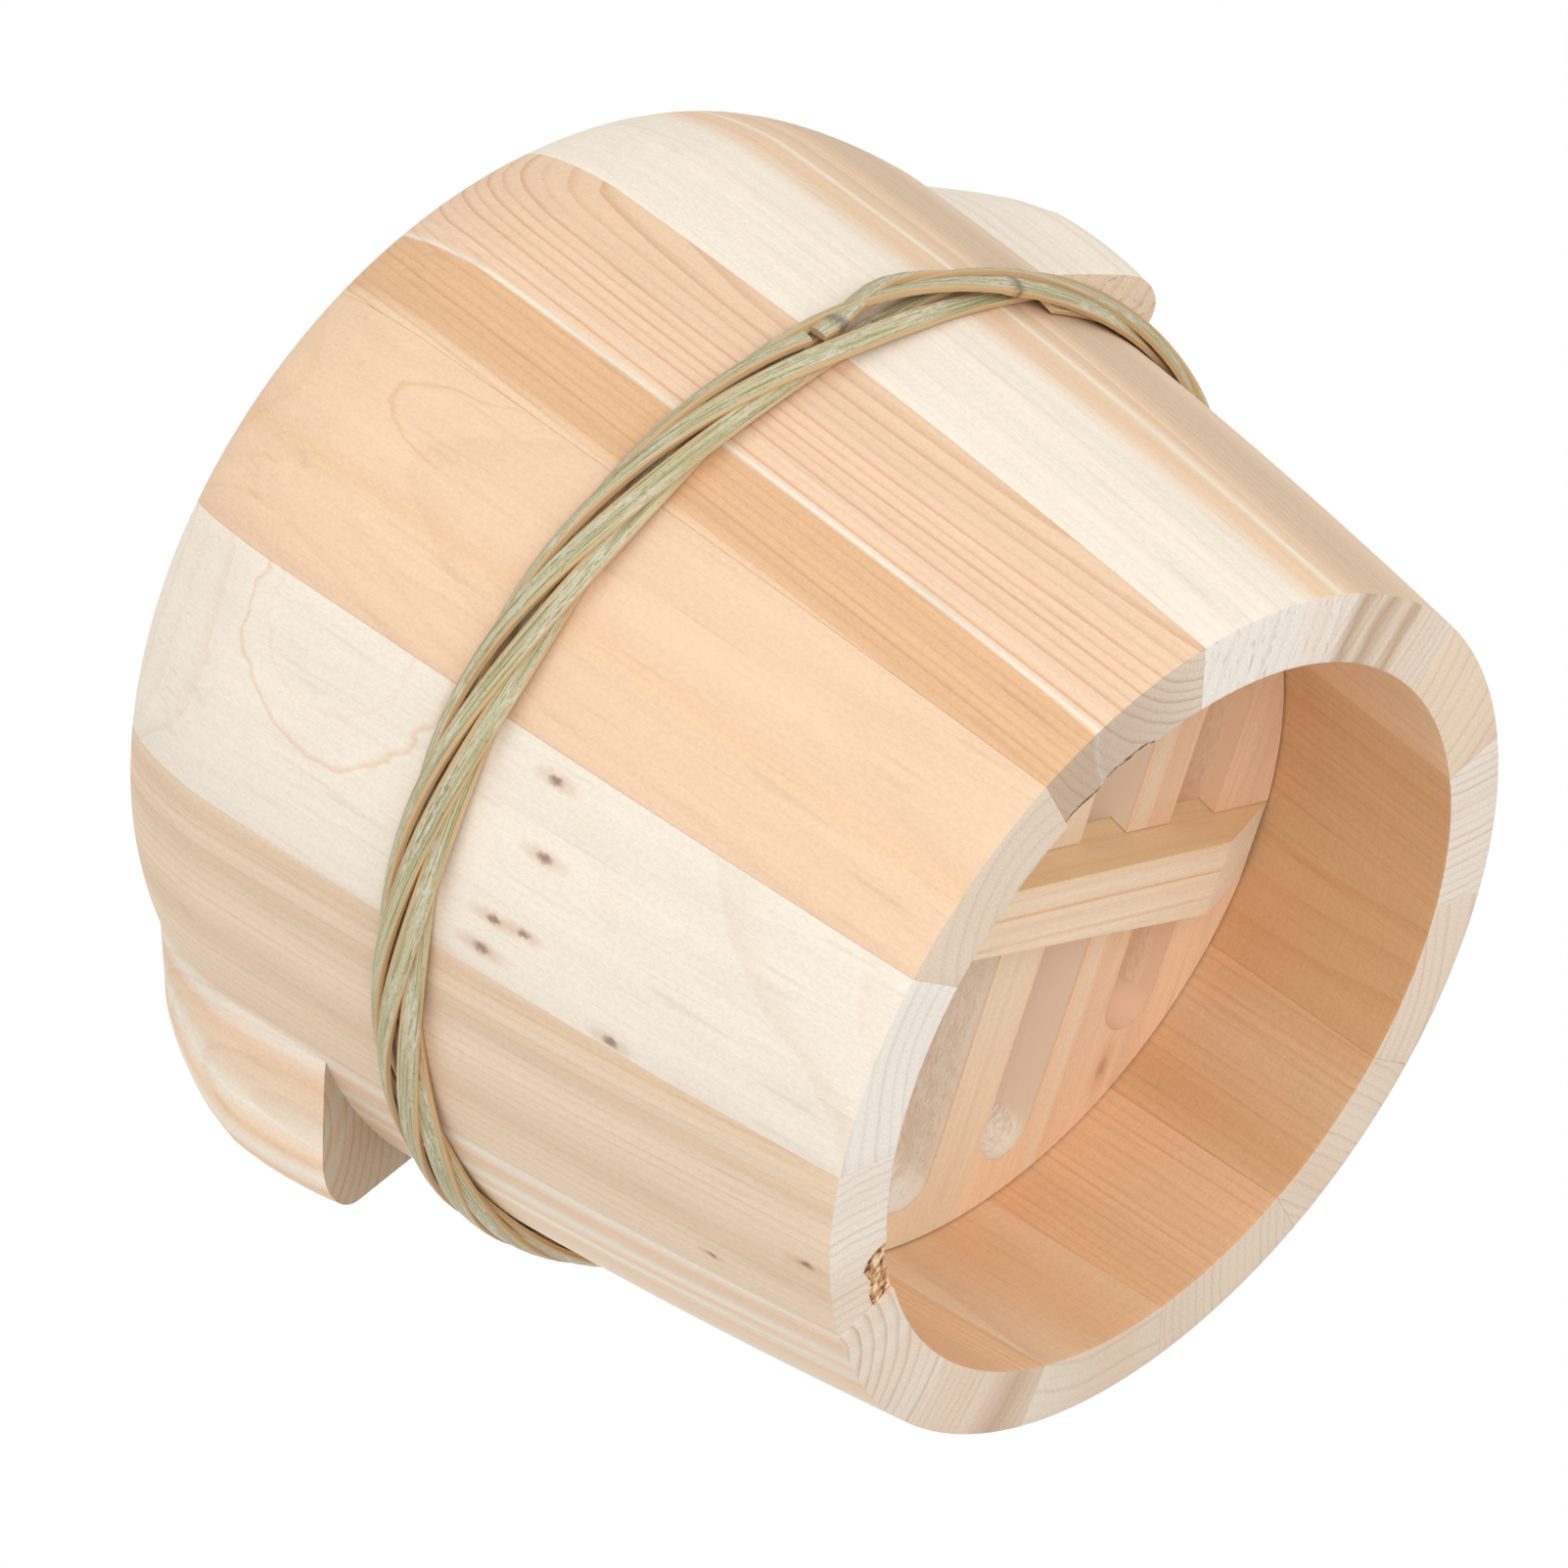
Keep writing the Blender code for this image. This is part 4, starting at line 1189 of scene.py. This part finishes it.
def torn_share(index, share, along, side, bulge):
    """How torn a slot's wall is at a spot, 0 to 1: patchy along the sides, even round the ends."""
    start, stop, ends = BOARD_CUTS[index]["torn"]
    if bulge:
        return ends * clamp(9 * (share - 0.1) * (0.96 - share))
    if abs(along) < settings().grate.batten_wide * 0.6:
        return 0
    patch = clamp(1.2 + 1.4 * noise.noise(Vector((along * 40, side * 90, index))))
    return patch * clamp(9 * (share - start) * (stop - share) / (stop - start) ** 2)


def fibre_tuft(along, side, height):
    """Coarse and fine tufts of torn fibre, in and out of the wall."""
    coarse = noise.noise(Vector((along * 420, side * 300, height * 1500)))
    return coarse + 0.7 * noise.noise(Vector((along * 1100, side, height * 2600)))


def grate_board(index):
    """A board of the grate, with its steam slot and the torn fibres the cutter left in it."""
    size = settings().grate
    middle = sum(board_edges(index)) / 2
    slot = slot_outline(index)
    bm = bmesh.new()
    torn = bm.verts.layers.float.new("torn")
    cut_side = bm.verts.layers.float.new("slot")
    outer = [closed_loop(bm, board_outline(index, height))[1] for height in (0, size.thickness)]
    inner = []
    for level in range(SLOT_LEVELS + 1):
        height = size.thickness * level / SLOT_LEVELS
        share = height / size.thickness
        points, marks = [], []
        for along, side, bulge in slot:
            mark = torn_share(index, share, along, side, bulge)
            facing = Vector((bulge, side, 0)).normalized()
            move = facing * (size.tear * mark * fibre_tuft(along, side, height))
            points.append((along + bulge + move.x, middle + side + move.y, height))
            marks.append(mark)
        verts, edges = closed_loop(bm, points)
        for vert, mark in zip(verts, marks):
            vert[torn] = mark
            vert[cut_side] = 0 < share < 1
        inner.append(edges)
    bmesh.ops.bridge_loops(bm, edges=outer[0] + outer[1])
    for under, over in zip(inner, inner[1:]):
        bmesh.ops.bridge_loops(bm, edges=under + over)
    for rim, hole in ((outer[0], inner[0]), (outer[1], inner[-1])):
        bmesh.ops.triangle_fill(bm, use_beauty=True, edges=rim + hole)
    bmesh.ops.recalc_face_normals(bm, faces=bm.faces[:])
    return bm


def batten_reach():
    """Half the batten's length, to where its corners meet the grate's round edge."""
    size = settings().grate
    widest = max(size.batten_front, size.batten_wide - size.batten_front) + size.flare
    return math.sqrt(grate_radius(0) ** 2 - widest**2)


def batten_bar(clearance=0, stretch=1):
    """The tapered batten along Y with its dovetail tongue."""
    size = settings().grate
    bm = bmesh.new()
    front = size.batten_front + clearance
    under = -size.batten_drop - clearance
    top = size.tongue + clearance
    loops = []
    for side in (-stretch, stretch):
        width = (size.batten_wide * (1 + side) + size.batten_narrow * (1 - side)) / 2
        back = size.batten_front - width - clearance
        outline = (
            (back, under), (front, under), (front, 0), (front + size.flare, top), (back - size.flare, top),
            (back, 0),
        )
        face = bm.faces.new([bm.verts.new((x, side * batten_reach(), z)) for x, z in outline])
        loops += face.edges
    bmesh.ops.bridge_loops(bm, edges=loops)
    bmesh.ops.recalc_face_normals(bm, faces=bm.faces[:])
    return bm


def grate_batten():
    """The batten with its ends sloped off to nothing and its lower edges eased."""
    size = settings().grate
    bm = batten_bar()
    for side in (-1, 1):
        along = side * (batten_reach() - size.batten_flat)
        bmesh.ops.bisect_plane(
            bm, geom=bm.verts[:] + bm.edges[:] + bm.faces[:],
            plane_co=(0, side * size.batten_flat, -size.batten_drop),
            plane_no=(0, side * size.batten_drop, -side * along), clear_outer=True,
        )
        bmesh.ops.holes_fill(bm, edges=[edge for edge in bm.edges if edge.is_boundary])
    bmesh.ops.recalc_face_normals(bm, faces=bm.faces[:])
    lower = [edge for edge in bm.edges if max(vert.co.z for vert in edge.verts) < -size.batten_drop * 0.9]
    bevel(bm, lower, BATTEN_EASE, False)
    return bm


def cut_out(bm, cutter):
    """Takes one closed shape out of another."""
    pieces = []
    for shape in (bm, cutter):
        mesh = bpy.data.meshes.new("cutting")
        shape.to_mesh(mesh)
        shape.free()
        pieces.append(bpy.data.objects.new("cutting", mesh))
        bpy.context.scene.collection.objects.link(pieces[-1])
    cut = pieces[0].modifiers.new("cut", "BOOLEAN")
    cut.operation = "DIFFERENCE"
    cut.object = pieces[1]
    result = bmesh.new()
    result.from_object(pieces[0], bpy.context.evaluated_depsgraph_get())
    for piece in pieces:
        bpy.data.meshes.remove(piece.data)
    return result


def seat_grate(bm):
    """Turns and lifts a piece of the grate to its place in the barrel."""
    size = settings().grate
    place = Matrix.Translation((0, 0, size.underside)) @ Matrix.Rotation(size.turn, 4, "Z")
    bmesh.ops.transform(bm, matrix=place, verts=bm.verts[:])
    return bm


class STEAMER_OT_grate(bpy.types.Operator):
    """Builds the slotted boards and the batten of the steaming grate"""

    bl_idname = "steamer.grate"
    bl_label = "Grate"

    def execute(self, context):
        size = settings().grate
        unturn = Matrix.Rotation(-size.turn, 3, "Z")
        along_boards = (ALONG_X @ unturn).to_euler()
        along_batten = (ALONG_Y @ unturn).to_euler()
        for index, cut in enumerate(BOARD_CUTS):
            node = f"grate_board_{index + 1}"
            board = cut_out(grate_board(index), batten_bar(size.housing_gap, HOUSING_STRETCH))
            material = wood_material(f"{node}_wood", along_boards, cut, board_edges(index))
            add_piece(f"{node}_slotted", seat_grate(board), material, "grate", [node])
        span = (-size.batten_front, size.batten_front)
        material = wood_material("grate_batten_wood", along_batten, BATTEN_CUT, span)
        batten = seat_grate(grate_batten())
        add_piece("grate_batten_eased", batten, material, "grate", ["grate_batten"])
        return {"FINISHED"}


class STEAMER_OT_pins(bpy.types.Operator):
    """Finishes the hidden pins in the stave joints as split bamboo"""

    bl_idname = "steamer.pins"
    bl_label = "Stave Pins"

    def execute(self, context):
        material = wood_material("pin_wood", (0, 0, 0), PIN_CUT, PIN_SPAN)
        for name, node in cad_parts.items():
            if name.startswith("stave_pin"):
                node.material_slots[0].material = material
        return {"FINISHED"}


# Stage

FLOOR_RADIUS = 6
FLOOR_SEGMENTS = 96
FLOOR_DROP = 0.0004
CAMERA_NEAR = 0.01
WHITE = (1, 1, 1, 1)
WARM_WHITE = (1, 0.99, 0.975, 1)
# Each light's name, place, aim and width, and the setting that holds its power
LIGHTS = (
    ("key_light", (-0.3, -1.3, 0.5), (0, 0, 0.1), 1.2, "key"),
    ("under_light", (0.3, -0.9, -0.9), (0, 0, 0.02), 1.0, "under"),
    ("back_light", (-0.5, 1.3, 0.9), (0, 0, 0.1), 1.2, "key"),
    ("fill_light", (-0.3, -1.1, -0.62), (0, 0, 0.05), 0.7, "fill"),
)


def floor_material():
    """A pale floor that is clear from below, where the photograph's camera stands."""
    material, tree, shader = new_material("pale_floor")
    shader.inputs["Base Color"].default_value = (*settings().stage.floor, 1)
    shader.inputs["Roughness"].default_value = 0.9
    shader.inputs["Specular IOR Level"].default_value = 0.1
    clear = put(tree, "ShaderNodeBsdfTransparent")
    behind = put(tree, "ShaderNodeNewGeometry").outputs["Backfacing"]
    both = put(tree, "ShaderNodeMixShader", {0: behind, 1: shader.outputs[0], 2: clear.outputs[0]})
    tree.links.new(both.outputs[0], tree.nodes["Material Output"].inputs["Surface"])
    return material


def add_floor():
    """A wide round floor just below the barrel, which takes its shadow and throws no light back."""
    bm = bmesh.new()
    bmesh.ops.create_circle(bm, cap_ends=True, segments=FLOOR_SEGMENTS, radius=FLOOR_RADIUS)
    mesh = bpy.data.meshes.new("floor")
    bm.to_mesh(mesh)
    bm.free()
    mesh.materials.append(floor_material())
    floor = bpy.data.objects.new("floor", mesh)
    floor.location.z = -FLOOR_DROP
    for ray in ("diffuse", "glossy", "transmission", "shadow"):
        setattr(floor, f"visible_{ray}", False)
    bpy.context.scene.collection.objects.link(floor)


def add_world():
    """Even light from all round, behind a plain white background."""
    world = bpy.data.worlds.new("soft_studio")
    world.use_nodes = True
    tree = world.node_tree
    tree.nodes.clear()
    path = put(tree, "ShaderNodeLightPath").outputs
    seen = calc(tree, "MAXIMUM", path["Is Camera Ray"], path["Is Glossy Ray"])
    seen = calc(tree, "MAXIMUM", seen, path["Is Transmission Ray"])
    light = put(tree, "ShaderNodeBackground", {"Color": WARM_WHITE, "Strength": settings().stage.ambient})
    white = put(tree, "ShaderNodeBackground", {"Color": WHITE, "Strength": 1})
    both = put(tree, "ShaderNodeMixShader", {0: seen, 1: light.outputs[0], 2: white.outputs[0]})
    put(tree, "ShaderNodeOutputWorld", {"Surface": both.outputs[0]})
    bpy.context.scene.world = world


def look_along(place, aim):
    """The turn that points a light or a camera from a place at an aim."""
    return (Vector(aim) - Vector(place)).to_track_quat("-Z", "Y")


def add_light(name, place, aim, width, power):
    lamp = bpy.data.lights.new(name, "AREA")
    lamp.shape = "DISK"
    lamp.size = width
    lamp.energy = power
    light = bpy.data.objects.new(name, lamp)
    light.location = place
    light.rotation_euler = look_along(place, aim).to_euler()
    bpy.context.scene.collection.objects.link(light)


def add_camera():
    """The photograph's camera, below the floor line and rolled."""
    size = settings().stage
    camera = bpy.data.objects.new("camera", bpy.data.cameras.new("camera"))
    camera.data.lens = size.focal
    camera.data.clip_start = CAMERA_NEAR
    camera.location = size.camera_place
    camera.rotation_mode = "QUATERNION"
    aim = look_along(size.camera_place, size.camera_aim)
    camera.rotation_quaternion = aim @ Quaternion((0, 0, 1), -size.camera_roll)
    bpy.context.scene.collection.objects.link(camera)
    bpy.context.scene.camera = camera


class STEAMER_OT_stage(bpy.types.Operator):
    """Sets up the floor, the soft light and the camera"""

    bl_idname = "steamer.stage"
    bl_label = "Stage"

    def execute(self, context):
        add_floor()
        add_world()
        for name, place, aim, width, power in LIGHTS:
            add_light(name, place, aim, width, getattr(settings().stage, power))
        add_camera()
        context.scene.view_settings.view_transform = "Standard"
        return {"FINISHED"}


class STEAMER_PT_panel(bpy.types.Panel):
    """Lists the pieces of the steamer"""

    bl_idname = "STEAMER_PT_panel"
    bl_label = "Rice Steamer"
    bl_space_type = "VIEW_3D"
    bl_region_type = "UI"
    bl_category = "Steamer"

    def draw(self, context):
        for operator in OPERATORS:
            self.layout.operator(operator.bl_idname)


GROUPS = (BarrelSizes, EarSizes, HoopSizes, GrateSizes, WoodTones, StageSizes, SteamerSettings)
OPERATORS = (
    STEAMER_OT_staves, STEAMER_OT_ear_staves, STEAMER_OT_hoop, STEAMER_OT_grate, STEAMER_OT_pins,
    STEAMER_OT_stage,
)


def register():
    for cls in (*GROUPS, *OPERATORS, STEAMER_PT_panel):
        bpy.utils.register_class(cls)
    bpy.types.Scene.rice_steamer = PointerProperty(type=SteamerSettings)


def unregister():
    del bpy.types.Scene.rice_steamer
    for cls in reversed((*GROUPS, *OPERATORS, STEAMER_PT_panel)):
        bpy.utils.unregister_class(cls)


def main():
    register()
    make_growth_rings()
    make_fibres()
    make_pin_knot()
    make_grain_loop()
    bpy.ops.steamer.staves()
    bpy.ops.steamer.ear_staves()
    bpy.ops.steamer.hoop()
    bpy.ops.steamer.grate()
    bpy.ops.steamer.pins()
    bpy.ops.steamer.stage()


if __name__ == "__main__":
    main()
